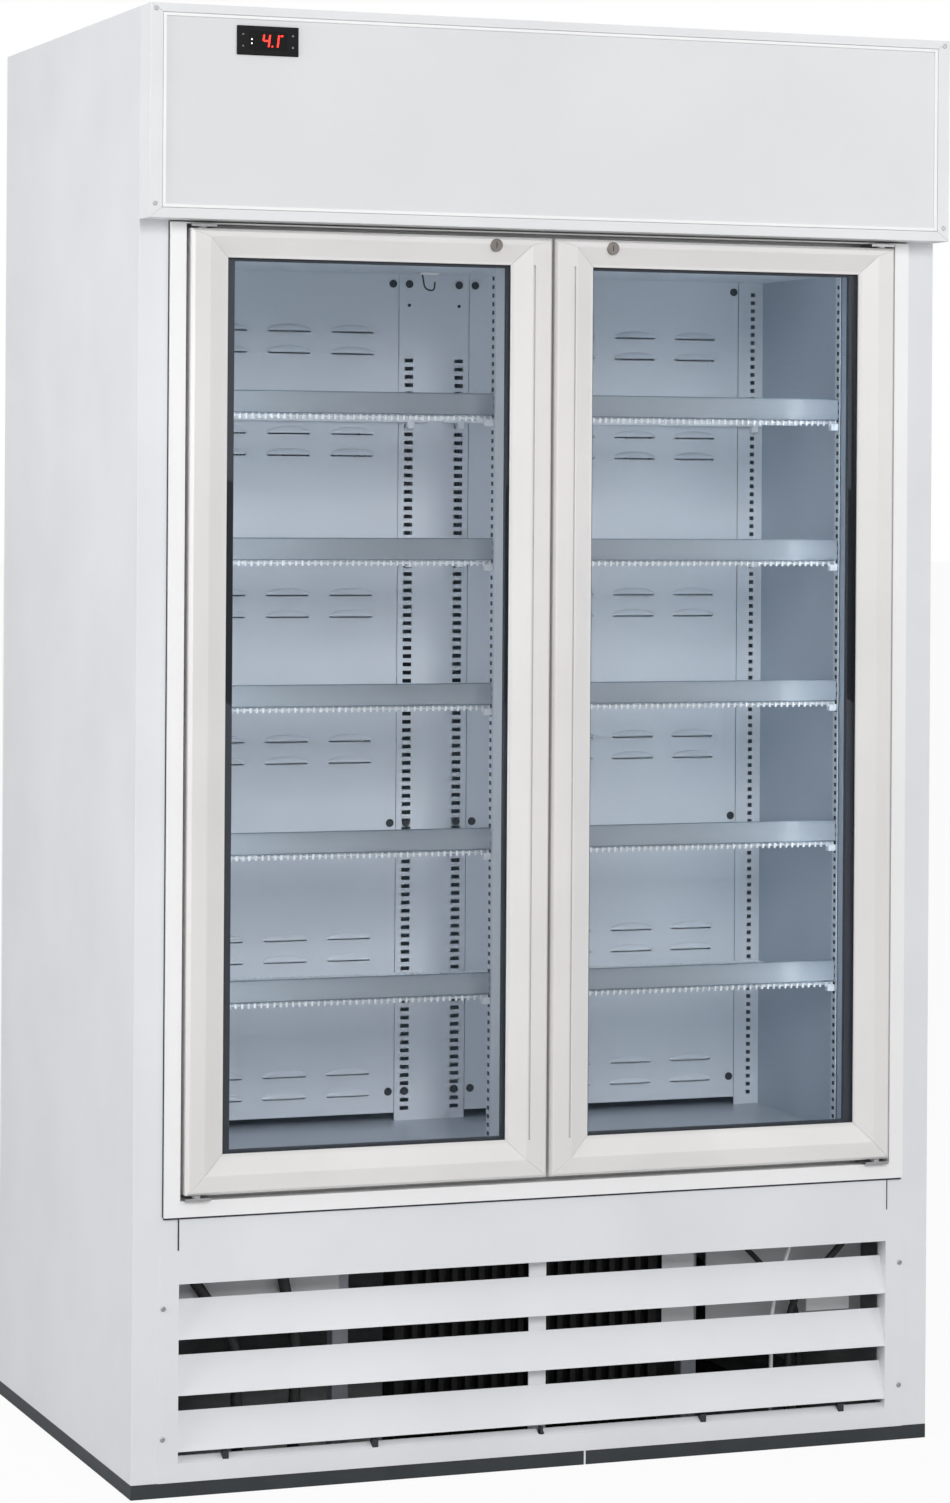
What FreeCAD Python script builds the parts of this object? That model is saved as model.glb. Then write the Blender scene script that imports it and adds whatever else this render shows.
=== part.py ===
"""Two-door glass-front display cooler, in millimetres: +Z up, doors facing -Y, origin under its middle."""
import FreeCAD, Part
import os

import Sketcher
from FreeCAD import Placement, Rotation, Vector

SIZES = {
    # Overall
    "width": 1200, "height": 2030, "cabinet_depth": 730, "canopy_projection": 50,
    # Outer skin, plinth and feet
    "skin": 1.2, "flange_width": 43, "plinth_height": 20, "plinth_thickness": 12,
    "plinth_joint": 3, "plinth_seam": 65,
    "foot_radius": 18, "foot_inset": 70,
    # Insulated box: the deck under it, the foam on each side of the cold space, and its lining
    "deck_height": 365, "floor_foam": 60, "ceiling_foam": 50, "side_foam": 55, "back_foam": 60,
    "liner_skin": 1,
    # Door surround and mullion
    "sill_rise": 17, "surround_head_gap": 2, "surround_proud": 8, "head_cover": 36,
    "jamb_lip": 22, "head_lip": 2, "land_width": 43, "land_setback": 22, "land_thickness": 12,
    "jamb_tongue": 13, "head_tongue": 1, "mullion_half_width": 42, "mullion_depth": 30,
    # Doors
    "door_side_gap": 5, "door_sill_gap": 8, "door_head_gap": 6, "door_centre_gap": 4,
    "door_proud": 20, "door_thickness": 32, "hinge_stile": 54, "handle_stile": 60, "top_rail": 39,
    "bottom_rail": 54, "slope_run": 28, "slope_drop": 10, "bead_width": 4, "edge_round": 4, "edge_drop": 6,
    "pocket_depth": 12, "pocket_setback": 14, "pocket_clearance": 2, "pane_thickness": 4, "pane_gap": 8,
    "spacer_width": 8, "grip_inset": 27, "grip_width": 3, "grip_depth": 4,
    "gasket_inset": 19, "gasket_width": 16, "seal_gap": 0.3,
    # Hinges
    "pivot_inset": 18, "pivot_setback": 12, "pin_radius": 4, "pin_depth": 8, "pin_fit": 0.05,
    "shoulder_radius": 7, "hinge_plate": 4, "hinge_plate_width": 36, "hinge_plate_depth": 38,
    # Locks
    "lock_offset": 88, "lock_drop": 12, "lock_radius": 9, "plug_radius": 6.5, "lock_proud": 1.5,
    "keyway_width": 1.6, "keyway_length": 8, "keyway_depth": 3,
    "cam_length": 13, "cam_width": 8, "cam_thickness": 2.5, "cam_gap": 0.5,
    # Canopy, and the thermostat's place from its top and left edges
    "canopy_height": 290, "canopy_wall": 2, "canopy_side_lip": 18, "canopy_top_lip": 12,
    "canopy_bottom_lip": 14, "canopy_step": 1, "canopy_bead": 4, "sign_setback": 3, "sign_thickness": 3,
    "lamp_radius": 13, "lamp_setback": 22, "holder_length": 48, "holder_depth": 34, "holder_height": 44,
    "thermostat_inset": 166, "thermostat_drop": 45.5, "bezel_width": 88, "bezel_height": 40,
    "bezel_thickness": 2.6, "module_width": 72, "module_height": 28, "module_depth": 52,
    # Rear wall of the cold space and shelf standards; heights here are above the lining's floor
    "duct_depth": 195, "standard_half_width": 57, "side_standard_width": 42, "duct_panel_gap": 12,
    "louvre_length": 66, "louvre_slot": 6, "louvre_hood": 7, "louvre_pitch": 100, "louvre_margin": 10,
    "louvre_pair_gap": 32.5, "slot_width": 12, "slot_height": 5, "slot_pitch": 105, "slot_start": 25,
    "slot_edge": 17, "post_setback": 190, "post_width": 16, "post_half_width": 9, "wall_standard": 3,
    # Shelves and lamp strips
    "shelf_start": 224, "shelf_pitch": 209.5, "shelf_headroom": 150, "shelf_setback": 192,
    "shelf_rear_gap": 7, "shelf_end_gap": 3, "wire": 3, "wire_pitch": 36, "cross_wire": 5,
    "guard_thickness": 3, "guard_rise": 29, "guard_drop": 3,
    "clip_width": 10, "clip_reach": 12, "clip_height": 10,
    "lamp_strip_width": 13, "lamp_strip_depth": 16, "lamp_strip_foot": 35, "lamp_strip_head": 12,
    # Front grille, hung from the surround
    "grille_inset": 66, "grille_flange": 28, "grille_flange_drop": 47, "band_height": 92,
    "blade_gap": 24, "blade_height": 52, "blade_pitch": 76.5, "blade_slope": 20, "blade_hem": 6,
    "ledge_height": 46, "ledge_depth": 12, "strut_half_width": 13, "strut_thickness": 2,
    "jamb_depth": 26, "flange_lap": 14,
    "notch_width": 9, "notch_rim": 1.5, "notch_near": 248, "notch_far": 465,
    "post_offset": 267, "grille_post_setback": 100, "grille_post_width": 24,
    # Machine compartment
    "coil_half_width": 200, "coil_setback": 60, "coil_thickness": 50, "fin_pitch": 20,
    "fin_gap": 12, "fin_groove": 14, "shroud_margin": 38, "shroud_depth": 40, "shroud_foot": 53,
    "shroud_rim": 1.8,
    "shroud_bore": 112, "fan_clearance": 7, "hub_radius": 30, "hub_length": 24, "shaft_radius": 5,
    "shaft_length": 60, "motor_width": 80, "motor_length": 70, "motor_gap": 12, "motor_foot": 60,
    "blade_thickness": 3, "blade_chord": 44, "blade_twist": 28,
    "compressor_inset": 250, "compressor_setback": 300, "compressor_radius": 85, "compressor_height": 190,
    "compressor_crown": 40, "grommet_width": 24, "grommet_height": 14, "base_plate": 4,
    "base_plate_half": 95, "rear_slot_width": 12, "rear_slot_pitch": 48, "rear_slot_bottom": 165,
    "rear_slot_drop": 55,
    # Evaporator and its fan behind the rear wall
    "evaporator_end_gap": 115, "evaporator_setback": 65, "evaporator_thickness": 100,
    "evaporator_drop": 142, "evaporator_rise": 310, "end_plate": 2,
    "cold_fan_drop": 200, "cold_fan_radius": 95, "cold_motor_width": 76, "cold_motor_length": 60,
}
LOUVRE_DROPS = (99, 252, 494, 713, 1010, 1214)
CROSS_WIRES = (0, 0.5, 1)
FAN_BLADES = 5
HUB_SIDES = 2 * FAN_BLADES
FOOT_SIDES = 6
TESSELLATION = 0.5
SIDES = {"left": -1, "right": 1}

doc = FreeCAD.newDocument("display_cooler")
sheet = doc.addObject("Spreadsheet::Sheet", "Dims")
for row, (alias, number) in enumerate(SIZES.items(), start=1):
    sheet.set(f"A{row}", alias)
    sheet.set(f"B{row}", str(number))
    sheet.setAlias(f"B{row}", alias)
doc.recompute()

nodes = {}


class Size:
    """A length that carries its number and the sheet formula that drives it."""

    def __init__(self, formula, number):
        self.formula = formula
        self.number = number

    def __add__(self, other):
        other = as_size(other)
        return Size(f"({self.formula} + {other.formula})", self.number + other.number)

    def __sub__(self, other):
        other = as_size(other)
        return Size(f"({self.formula} - {other.formula})", self.number - other.number)

    def __mul__(self, factor):
        return Size(f"({self.formula} * {factor})", self.number * factor)

    def __truediv__(self, factor):
        return Size(f"({self.formula} / {factor})", self.number / factor)

    def __neg__(self):
        return self * -1

    def __float__(self):
        return float(self.number)

    __radd__ = __add__
    __rmul__ = __mul__


def as_size(value):
    """Give a plain number the same form as a sheet size."""
    return value if isinstance(value, Size) else Size(f"({value})", float(value))


def dim(alias):
    """The sheet's size of that name."""
    return Size(f"Dims.{alias}", float(sheet.get(alias)))


def depth(setback):
    """Y of a plane that lies so far behind the cabinet front."""
    return FRONT + setback


def mirrored(side, near, far):
    """The X span between two distances from the middle, on the left or the right."""
    near, far = as_size(near), as_size(far)
    return (near, far) if side > 0 else (-far, -near)


def centred(middle, length):
    """The span of that length about a middle."""
    return as_size(middle) - as_size(length) / 2, as_size(middle) + as_size(length) / 2


def keep(name, item):
    """Make an object of the document a node of its own."""
    item.Label = name
    nodes[name] = item
    return item


def block(name, x, y, z):
    """A box between two corners, each side bound to the sheet."""
    item = doc.addObject("Part::Box", name)
    for side, axis, (low, high) in (("Length", "x", x), ("Width", "y", y), ("Height", "z", z)):
        item.setExpression(side, (as_size(high) - as_size(low)).formula)
        item.setExpression(f"Placement.Base.{axis}", as_size(low).formula)
    return item


AXIS_TURNS = {"z": Rotation(), "y": Rotation(Vector(1, 0, 0), -90), "x": Rotation(Vector(0, 1, 0), 90)}


def rod(name, axis, start, radius, length):
    """A cylinder from a start point along +X, +Y or +Z."""
    item = doc.addObject("Part::Cylinder", name)
    item.Placement = Placement(Vector(), AXIS_TURNS[axis])
    item.setExpression("Radius", as_size(radius).formula)
    item.setExpression("Height", as_size(length).formula)
    for letter, place in zip("xyz", start):
        item.setExpression(f"Placement.Base.{letter}", as_size(place).formula)
    return item


def prism(name, start, sides, radius, length):
    """An upright bar with a regular outline, from a start point along +Z."""
    item = doc.addObject("Part::Prism", name)
    item.Polygon = sides
    item.setExpression("Circumradius", as_size(radius).formula)
    item.setExpression("Height", as_size(length).formula)
    for letter, place in zip("xyz", start):
        item.setExpression(f"Placement.Base.{letter}", as_size(place).formula)
    return item


def copies(room, pitch):
    """How many copies at that pitch fit into the room between the first and the last."""
    return int(float(room) / float(pitch)) + 1


def group(name, items):
    """Separate solids that share a node."""
    item = doc.addObject("Part::Compound", name)
    item.Links = items
    return item


def joined(name, items):
    """Solids welded or moulded into one."""
    item = doc.addObject("Part::MultiFuse", name)
    item.Shapes = items
    return item


def minus(name, base, tools):
    """A solid with one or more others cut away."""
    item = doc.addObject("Part::Cut", name)
    item.Base = base
    item.Tool = tools[0] if len(tools) == 1 else joined(f"{name}_tools", tools)
    return item


def draw(sketch, outline):
    """Draw a closed outline whose every corner is held by sheet formulas."""
    first = sketch.GeometryCount
    count = len(outline)
    corners = [Vector(float(u), float(v), 0) for u, v in outline]
    for index in range(count):
        sketch.addGeometry(Part.LineSegment(corners[index], corners[(index + 1) % count]), False)
    for index, (u, v) in enumerate(outline):
        line = first + index
        sketch.addConstraint(Sketcher.Constraint("Coincident", line, 2, first + (index + 1) % count, 1))
        for kind, place in (("DistanceX", u), ("DistanceY", v)):
            number = sketch.addConstraint(Sketcher.Constraint(kind, line, 1, float(place)))
            sketch.setExpression(f"Constraints[{number}]", as_size(place).formula)


def sketched(body, plane, offset, outlines):
    """A sketch of closed outlines on one of a body's origin planes, moved along the plane's normal."""
    sketch = body.newObject("Sketcher::SketchObject", f"{body.Name}_sketch")
    support = [item for item in body.Origin.OriginFeatures if item.Role == plane][0]
    sketch.AttachmentSupport = (support, [""])
    sketch.MapMode = "FlatFace"
    sketch.setExpression("AttachmentOffset.Base.z", as_size(offset).formula)
    for outline in outlines:
        draw(sketch, outline)
    return sketch


def rectangle(u, v):
    """The four corners between two spans."""
    return [(u[0], v[0]), (u[1], v[0]), (u[1], v[1]), (u[0], v[1])]


def pad(body, plane, span, outlines):
    """Raise outlines through a span along the plane's axis; the XZ plane's normal points to -Y."""
    low, high = as_size(span[0]), as_size(span[1])
    offset = -high if plane == "XZ_Plane" else low
    feature = body.newObject("PartDesign::Pad", f"{body.Name}_pad")
    feature.Profile = sketched(body, plane, offset, outlines)
    feature.setExpression("Length", (high - low).formula)
    return feature


def pocket(body, plane, span, outlines):
    """Cut outlines through a span along the plane's axis."""
    low, high = as_size(span[0]), as_size(span[1])
    offset = -high if plane == "XZ_Plane" else low
    feature = body.newObject("PartDesign::Pocket", f"{body.Name}_pocket")
    feature.Profile = sketched(body, plane, offset, outlines)
    feature.setExpression("Length", (high - low).formula)
    feature.Reversed = True
    return feature


def repeat(body, features, axis, pitch, count):
    """Repeat features along a sketch axis of the first of them."""
    pattern = body.newObject("PartDesign::LinearPattern", f"{body.Name}_pattern")
    pattern.Originals = features
    pattern.Direction = (features[0].Profile[0], [axis])
    pattern.setExpression("Length", (as_size(pitch) * (count - 1)).formula)
    pattern.Occurrences = count
    body.Tip = pattern
    return pattern


def new_body(name):
    """An empty body."""
    return doc.addObject("PartDesign::Body", name)


def mitred_frame(name, x, z, profile):
    """Four extruded members cut on the mitres that run from the outer to the inner corners.

    Each point of the profile is (left inset, right inset, bottom inset, top inset, Y).
    """
    left, right, bottom, top = ([float(point[side]) for point in profile] for side in range(4))
    ys = [float(point[4]) for point in profile]
    x0, x1 = float(x[0]), float(x[1])
    z0, z1 = float(z[0]), float(z[1])
    outer = [(x0, z0), (x1, z0), (x1, z1), (x0, z1)]
    inner = [(x0 + max(left), z0 + max(bottom)), (x1 - max(right), z0 + max(bottom)),
             (x1 - max(right), z1 - max(top)), (x0 + max(left), z1 - max(top))]
    sections = [
        ([Vector(x0, y, z0 + inset) for inset, y in zip(bottom, ys)], Vector(x1 - x0, 0, 0)),
        ([Vector(x1 - inset, y, z0) for inset, y in zip(right, ys)], Vector(0, 0, z1 - z0)),
        ([Vector(x0, y, z1 - inset) for inset, y in zip(top, ys)], Vector(x1 - x0, 0, 0)),
        ([Vector(x0 + inset, y, z0) for inset, y in zip(left, ys)], Vector(0, 0, z1 - z0)),
    ]
    members = []
    for index, (points, run) in enumerate(sections):
        following = (index + 1) % 4
        bounds = [outer[index], outer[following], inner[following], inner[index]]
        corners = [Vector(u, min(ys), v) for u, v in bounds]
        wedge = Part.Face(Part.makePolygon(corners + corners[:1])).extrude(Vector(0, max(ys) - min(ys), 0))
        bar = Part.Face(Part.makePolygon(points + points[:1])).extrude(run)
        members.append(bar.common(wedge).Solids[0])
    item = doc.addObject("Part::Feature", name)
    item.Shape = Part.makeCompound(members)
    return item


WIDTH = dim("width")
HEIGHT = dim("height")
SKIN = dim("skin")
HALF = WIDTH / 2
FRONT = (dim("canopy_projection") - dim("cabinet_depth")) / 2
REAR = (dim("canopy_projection") + dim("cabinet_depth")) / 2
INSIDE = (-(HALF - SKIN), HALF - SKIN)
TRAY_TOP = dim("plinth_height") + SKIN
DECK = dim("deck_height")
CANOPY_BOTTOM = HEIGHT - dim("canopy_height")
SURROUND_HALF = HALF - dim("flange_width")
SURROUND_X = (-SURROUND_HALF, SURROUND_HALF)
SURROUND_Z = (DECK + dim("sill_rise"), CANOPY_BOTTOM - dim("surround_head_gap"))
GRILLE_HALF = HALF - dim("grille_inset")
BAND_BOTTOM = SURROUND_Z[0] - dim("band_height")
LINER = HALF - dim("side_foam")
LINER_BACK = REAR - dim("back_foam")
FLOOR = DECK + dim("floor_foam")
CEILING = SURROUND_Z[1] - dim("head_cover")
FOAM_TOP = CEILING + dim("ceiling_foam")
LAND = depth(dim("land_setback"))
BOX_FRONT = LAND + dim("land_thickness")
REAR_WALL = LINER_BACK - dim("duct_depth")


def build_base():
    """Dark plinth strips, levelling feet and the tray that carries the machinery."""
    thick = dim("plinth_thickness")
    top = dim("plinth_height")
    strips = []
    seam, gap = dim("plinth_seam"), dim("plinth_joint") / 2
    runs = {"left": (-HALF, seam - gap), "right": (seam + gap, HALF)}
    for label, side in SIDES.items():
        strips.append(block(f"{label}_front_plinth", runs[label], (FRONT, FRONT + thick), (0, top)))
        flank = mirrored(side, HALF - thick, HALF)
        strips.append(block(f"{label}_side_plinth", flank, (FRONT + thick, REAR), (0, top)))
    keep("plinth", group("plinth", strips))
    feet = []
    inset = dim("foot_inset")
    for label, side in SIDES.items():
        for end, y in (("front", FRONT + inset), ("rear", REAR - inset)):
            start = ((HALF - inset) * side, y, 0)
            feet.append(prism(f"{label}_{end}_foot", start, FOOT_SIDES, dim("foot_radius"), top))
    keep("levelling_feet", group("levelling_feet", feet))
    keep("base_tray", block("base_tray", INSIDE, (FRONT + SKIN, REAR - SKIN), (top, TRAY_TOP)))


def build_skin():
    """Folded side panels, back, top, decks above and below the foam, and the foam itself."""
    base = dim("plinth_height")
    for label, side in SIDES.items():
        inner = (HALF - SKIN) * side
        outer = HALF * side
        lip = SURROUND_HALF * side
        outline = [(lip, FRONT), (outer, FRONT), (outer, REAR), (inner, REAR), (inner, FRONT + SKIN),
                   (lip, FRONT + SKIN)]
        body = new_body(f"{label}_side_panel")
        pad(body, "XY_Plane", (base, HEIGHT), [outline])
        beside, behind = (GRILLE_HALF + SKIN) * side, (GRILLE_HALF - dim("flange_lap")) * side
        pad(body, "XZ_Plane", (FRONT, FRONT + SKIN), [[
            (beside, base), (lip, base), (lip, SURROUND_Z[0]), (behind, SURROUND_Z[0]), (behind, BAND_BOTTOM),
            (beside, BAND_BOTTOM)]])
        keep(f"{label}_side_panel", body)
    back = (REAR - SKIN, REAR)
    keep("rear_panel", block("rear_panel", INSIDE, back, (DECK, HEIGHT - SKIN)))
    keep("top_panel", block("top_panel", INSIDE, (FRONT + SKIN, REAR), (HEIGHT - SKIN, HEIGHT)))
    core = (FRONT + SKIN, REAR - SKIN)
    keep("machine_deck", block("machine_deck", INSIDE, core, (DECK - SKIN, DECK)))
    keep("ceiling_deck", block("ceiling_deck", INSIDE, core, (FOAM_TOP, FOAM_TOP + SKIN)))
    hull = block("foam_block", INSIDE, (BOX_FRONT, REAR - SKIN), (DECK, FOAM_TOP))
    thin = dim("liner_skin")
    hollow = block("foam_hollow", (-LINER - thin, LINER + thin), (BOX_FRONT, LINER_BACK + thin),
                   (FLOOR - thin, CEILING + thin))
    keep("foam_insulation", minus("foam_insulation", hull, [hollow]))
    grille = new_body("rear_service_grille")
    pad(grille, "XZ_Plane", back, [rectangle(INSIDE, (TRAY_TOP, DECK))])
    pitch = dim("rear_slot_pitch")
    count = copies(dim("post_offset") * 2, pitch)
    slot = centred(-pitch * (count - 1) / 2, dim("rear_slot_width"))
    rise = (dim("rear_slot_bottom"), DECK - dim("rear_slot_drop"))
    opening = pocket(grille, "XZ_Plane", back, [rectangle(slot, rise)])
    repeat(grille, [opening], "H_Axis", pitch, count)
    keep("rear_service_grille", grille)


def build_liner():
    """The pale lining of the cold space."""
    thin = dim("liner_skin")
    rise = (FLOOR, CEILING)
    walls = [block(f"{label}_liner_wall", mirrored(side, LINER, LINER + thin), (BOX_FRONT, LINER_BACK), rise)
             for label, side in SIDES.items()]
    keep("liner_walls", group("liner_walls", walls))
    across = (-LINER - thin, LINER + thin)
    keep("liner_back", block("liner_back", across, (LINER_BACK, LINER_BACK + thin), rise))
    run = (BOX_FRONT, LINER_BACK + thin)
    keep("liner_ceiling", block("liner_ceiling", across, run, (CEILING, CEILING + thin)))
    keep("liner_floor", block("liner_floor", across, run, (FLOOR - thin, FLOOR)))


DOOR_OUTER = SURROUND_HALF - dim("jamb_lip") - dim("door_side_gap")
DOOR_INNER = dim("door_centre_gap") / 2
SILL_TOP = SURROUND_Z[0] + dim("jamb_lip")
HEAD_UNDER = SURROUND_Z[1] - dim("head_lip")
DOOR_Z = (SILL_TOP + dim("door_sill_gap"), HEAD_UNDER - dim("door_head_gap"))
DOOR_FRONT = FRONT - dim("door_proud")
DOOR_BACK = DOOR_FRONT + dim("door_thickness")
PIVOT_X = DOOR_OUTER - dim("pivot_inset")
PIVOT_Y = DOOR_FRONT + dim("pivot_setback")
POCKET = (DOOR_FRONT + dim("pocket_setback"),
          DOOR_FRONT + dim("pocket_setback") + dim("pane_thickness") * 2 + dim("pane_gap"))
LOCK_Z = DOOR_Z[1] - dim("lock_drop")
SLOT_ROW = (FLOOR + dim("slot_start"), FLOOR + dim("slot_start") + dim("slot_height"))
SLOT_ROWS = copies(CEILING - SLOT_ROW[1], dim("slot_pitch"))
CENTRE_SLOTS = dim("standard_half_width") - dim("slot_edge")
SIDE_SLOTS = LINER - dim("slot_edge")


def build_surround():
    """Mitred door surround with its sealing land, and the mullion that both doors close on."""
    def point(jamb, head, y):
        return jamb, jamb, jamb, head, y

    lip, land = dim("jamb_lip"), dim("land_width")
    head = dim("head_lip")
    nose = FRONT - dim("surround_proud")
    profile = [
        point(0, 0, nose), point(lip, head, nose), point(lip, head, LAND),
        point(lip + land, head + land, LAND), point(lip + land, head + land, BOX_FRONT),
        point(dim("jamb_tongue"), dim("head_tongue"), BOX_FRONT),
        point(dim("jamb_tongue"), dim("head_tongue"), FRONT), point(0, 0, FRONT),
    ]
    keep("surround_frame", mitred_frame("surround_frame", SURROUND_X, SURROUND_Z, profile))
    half = dim("mullion_half_width")
    rise = (SILL_TOP + land, HEAD_UNDER - land)
    keep("centre_mullion", block("centre_mullion", (-half, half), (LAND, LAND + dim("mullion_depth")), rise))


def build_rear_wall():
    """Slotted shelf standards and louvred air-duct panels across the back of the cold space."""
    sheet_y = (REAR_WALL, REAR_WALL + SKIN)
    rise = (FLOOR, CEILING)
    half = dim("standard_half_width")
    pitch = dim("slot_pitch")
    strips = []
    middle = new_body("centre_rear_standard")
    pad(middle, "XZ_Plane", sheet_y, [rectangle((-half, half), rise)])
    columns = [rectangle(centred(CENTRE_SLOTS * side, dim("slot_width")), SLOT_ROW)
               for side in SIDES.values()]
    repeat(middle, [pocket(middle, "XZ_Plane", sheet_y, columns)], "V_Axis", pitch, SLOT_ROWS)
    strips.append(middle)
    for label, side in SIDES.items():
        strip = new_body(f"{label}_rear_standard")
        run = mirrored(side, LINER - dim("side_standard_width"), LINER)
        pad(strip, "XZ_Plane", sheet_y, [rectangle(run, rise)])
        column = rectangle(centred(SIDE_SLOTS * side, dim("slot_width")), SLOT_ROW)
        repeat(strip, [pocket(strip, "XZ_Plane", sheet_y, [column])], "V_Axis", pitch, SLOT_ROWS)
        strips.append(strip)
    keep("rear_standards", group("rear_standards", strips))
    for label, side in SIDES.items():
        keep(f"{label}_duct_panel", duct_panel(f"{label}_duct_panel", side, sheet_y))


def duct_panel(name, side, sheet_y):
    """A sheet with pairs of lanced louvres, hooded on the side of the shelves."""
    body = new_body(name)
    near, far = dim("standard_half_width"), LINER - dim("side_standard_width")
    run = mirrored(side, near, far)
    bottom = FLOOR + dim("duct_panel_gap")
    pad(body, "XZ_Plane", sheet_y, [rectangle(run, (bottom, CEILING))])
    pitch, length = dim("louvre_pitch"), dim("louvre_length")
    columns = copies(far - near - length - dim("louvre_margin") * 2, pitch)
    slot = centred((near + far) / 2 * side - pitch * (columns - 1) / 2, length)
    tall, hood = dim("louvre_slot"), dim("louvre_hood")
    outer = REAR_WALL - hood
    holes, hoods = [], []
    for drop in LOUVRE_DROPS:
        lowest = CEILING - drop - dim("louvre_pair_gap") / 2 - tall
        if float(lowest) < float(bottom):
            continue
        for low in (lowest, lowest + dim("louvre_pair_gap")):
            holes.append(rectangle(slot, (low, low + tall)))
            hoods.append([(REAR_WALL, low + tall), (outer, low), (outer, low + SKIN),
                          (REAR_WALL, low + tall * 2)])
    cut = pocket(body, "XZ_Plane", sheet_y, holes)
    raised = pad(body, "YZ_Plane", slot, hoods)
    repeat(body, [cut, raised], "H_Axis", pitch, columns)
    return body


def build_shelf_posts():
    """Front shelf standards on the side walls and the slotted post between the bays."""
    run = (depth(dim("post_setback")), depth(dim("post_setback")) + dim("post_width"))
    rise = (FLOOR, CEILING)
    middle = (run[0] + run[1]) / 2
    standards = []
    for label, side in SIDES.items():
        strip = new_body(f"{label}_front_standard")
        across = mirrored(side, LINER - dim("wall_standard"), LINER)
        pad(strip, "YZ_Plane", across, [rectangle(run, rise)])
        slot = rectangle(centred(middle, dim("slot_width")), SLOT_ROW)
        repeat(strip, [pocket(strip, "YZ_Plane", across, [slot])], "V_Axis", dim("slot_pitch"), SLOT_ROWS)
        standards.append(strip)
    keep("front_standards", group("front_standards", standards))
    half = dim("post_half_width")
    keep("centre_shelf_post", block("centre_shelf_post", (-half, half), run, rise))


def shelf_level(tier):
    """Height of a shelf's top wires."""
    return FLOOR + dim("shelf_start") + dim("shelf_pitch") * tier


def shelf_run(side):
    """X span of a shelf, clear of the post and the wall standard."""
    gap = dim("shelf_end_gap")
    return mirrored(side, dim("post_half_width") + gap, LINER - dim("wall_standard") - gap)


def wire_shelf(name, side, level):
    """Front-to-back wires welded on cross wires."""
    wire, cross = float(dim("wire")), float(dim("cross_wire"))
    low, high = (float(end) for end in shelf_run(side))
    front = float(depth(dim("shelf_setback")))
    reach = float(REAR_WALL - dim("shelf_rear_gap")) - front
    top = float(level)
    gaps = round((high - low - wire) / float(dim("wire_pitch")))
    pitch = (high - low - wire) / gaps
    rods = [Part.makeBox(wire, reach, wire, Vector(low + pitch * index, front, top - wire))
            for index in range(gaps + 1)]
    for share in CROSS_WIRES:
        y = front + (reach - cross) * share
        rods.append(Part.makeBox(high - low, cross, cross, Vector(low, y, top - wire - cross)))
    item = doc.addObject("Part::Feature", name)
    item.Shape = Part.makeCompound(rods)
    return item


def build_shelves():
    """Ten coated wire shelves with clear front guards, on clips that hook into the standards."""
    guards, clips = [], []
    front = depth(dim("shelf_setback"))
    for tier in range(copies(CEILING - shelf_level(0) - dim("shelf_headroom"), dim("shelf_pitch"))):
        level = shelf_level(tier)
        under = level - dim("wire") - dim("cross_wire")
        for label, side in SIDES.items():
            name = f"{label}_shelf_{tier + 1}"
            keep(name, wire_shelf(name, side, level))
            guards.append(block(f"{name}_guard", shelf_run(side), (front - dim("guard_thickness"), front),
                                (level - dim("guard_drop"), level + dim("guard_rise"))))
            clips += shelf_clips(name, side, (under - dim("clip_height"), under))
    keep("shelf_guards", group("shelf_guards", guards))
    keep("shelf_clips", group("shelf_clips", clips))


def shelf_clips(name, side, rise):
    """Two clips on the rear standards and two on the front ones."""
    reach, wide = dim("clip_reach"), dim("clip_width")
    rear = (REAR_WALL - reach, REAR_WALL)
    front = centred(depth(dim("post_setback")) + dim("post_width") / 2, wide)
    half = dim("post_half_width")
    wall = LINER - dim("wall_standard")
    return [
        block(f"{name}_clip_a", centred(CENTRE_SLOTS * side, wide), rear, rise),
        block(f"{name}_clip_b", centred(SIDE_SLOTS * side, wide), rear, rise),
        block(f"{name}_clip_c", mirrored(side, half, half + reach), front, rise),
        block(f"{name}_clip_d", mirrored(side, wall - reach, wall), front, rise),
    ]


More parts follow.
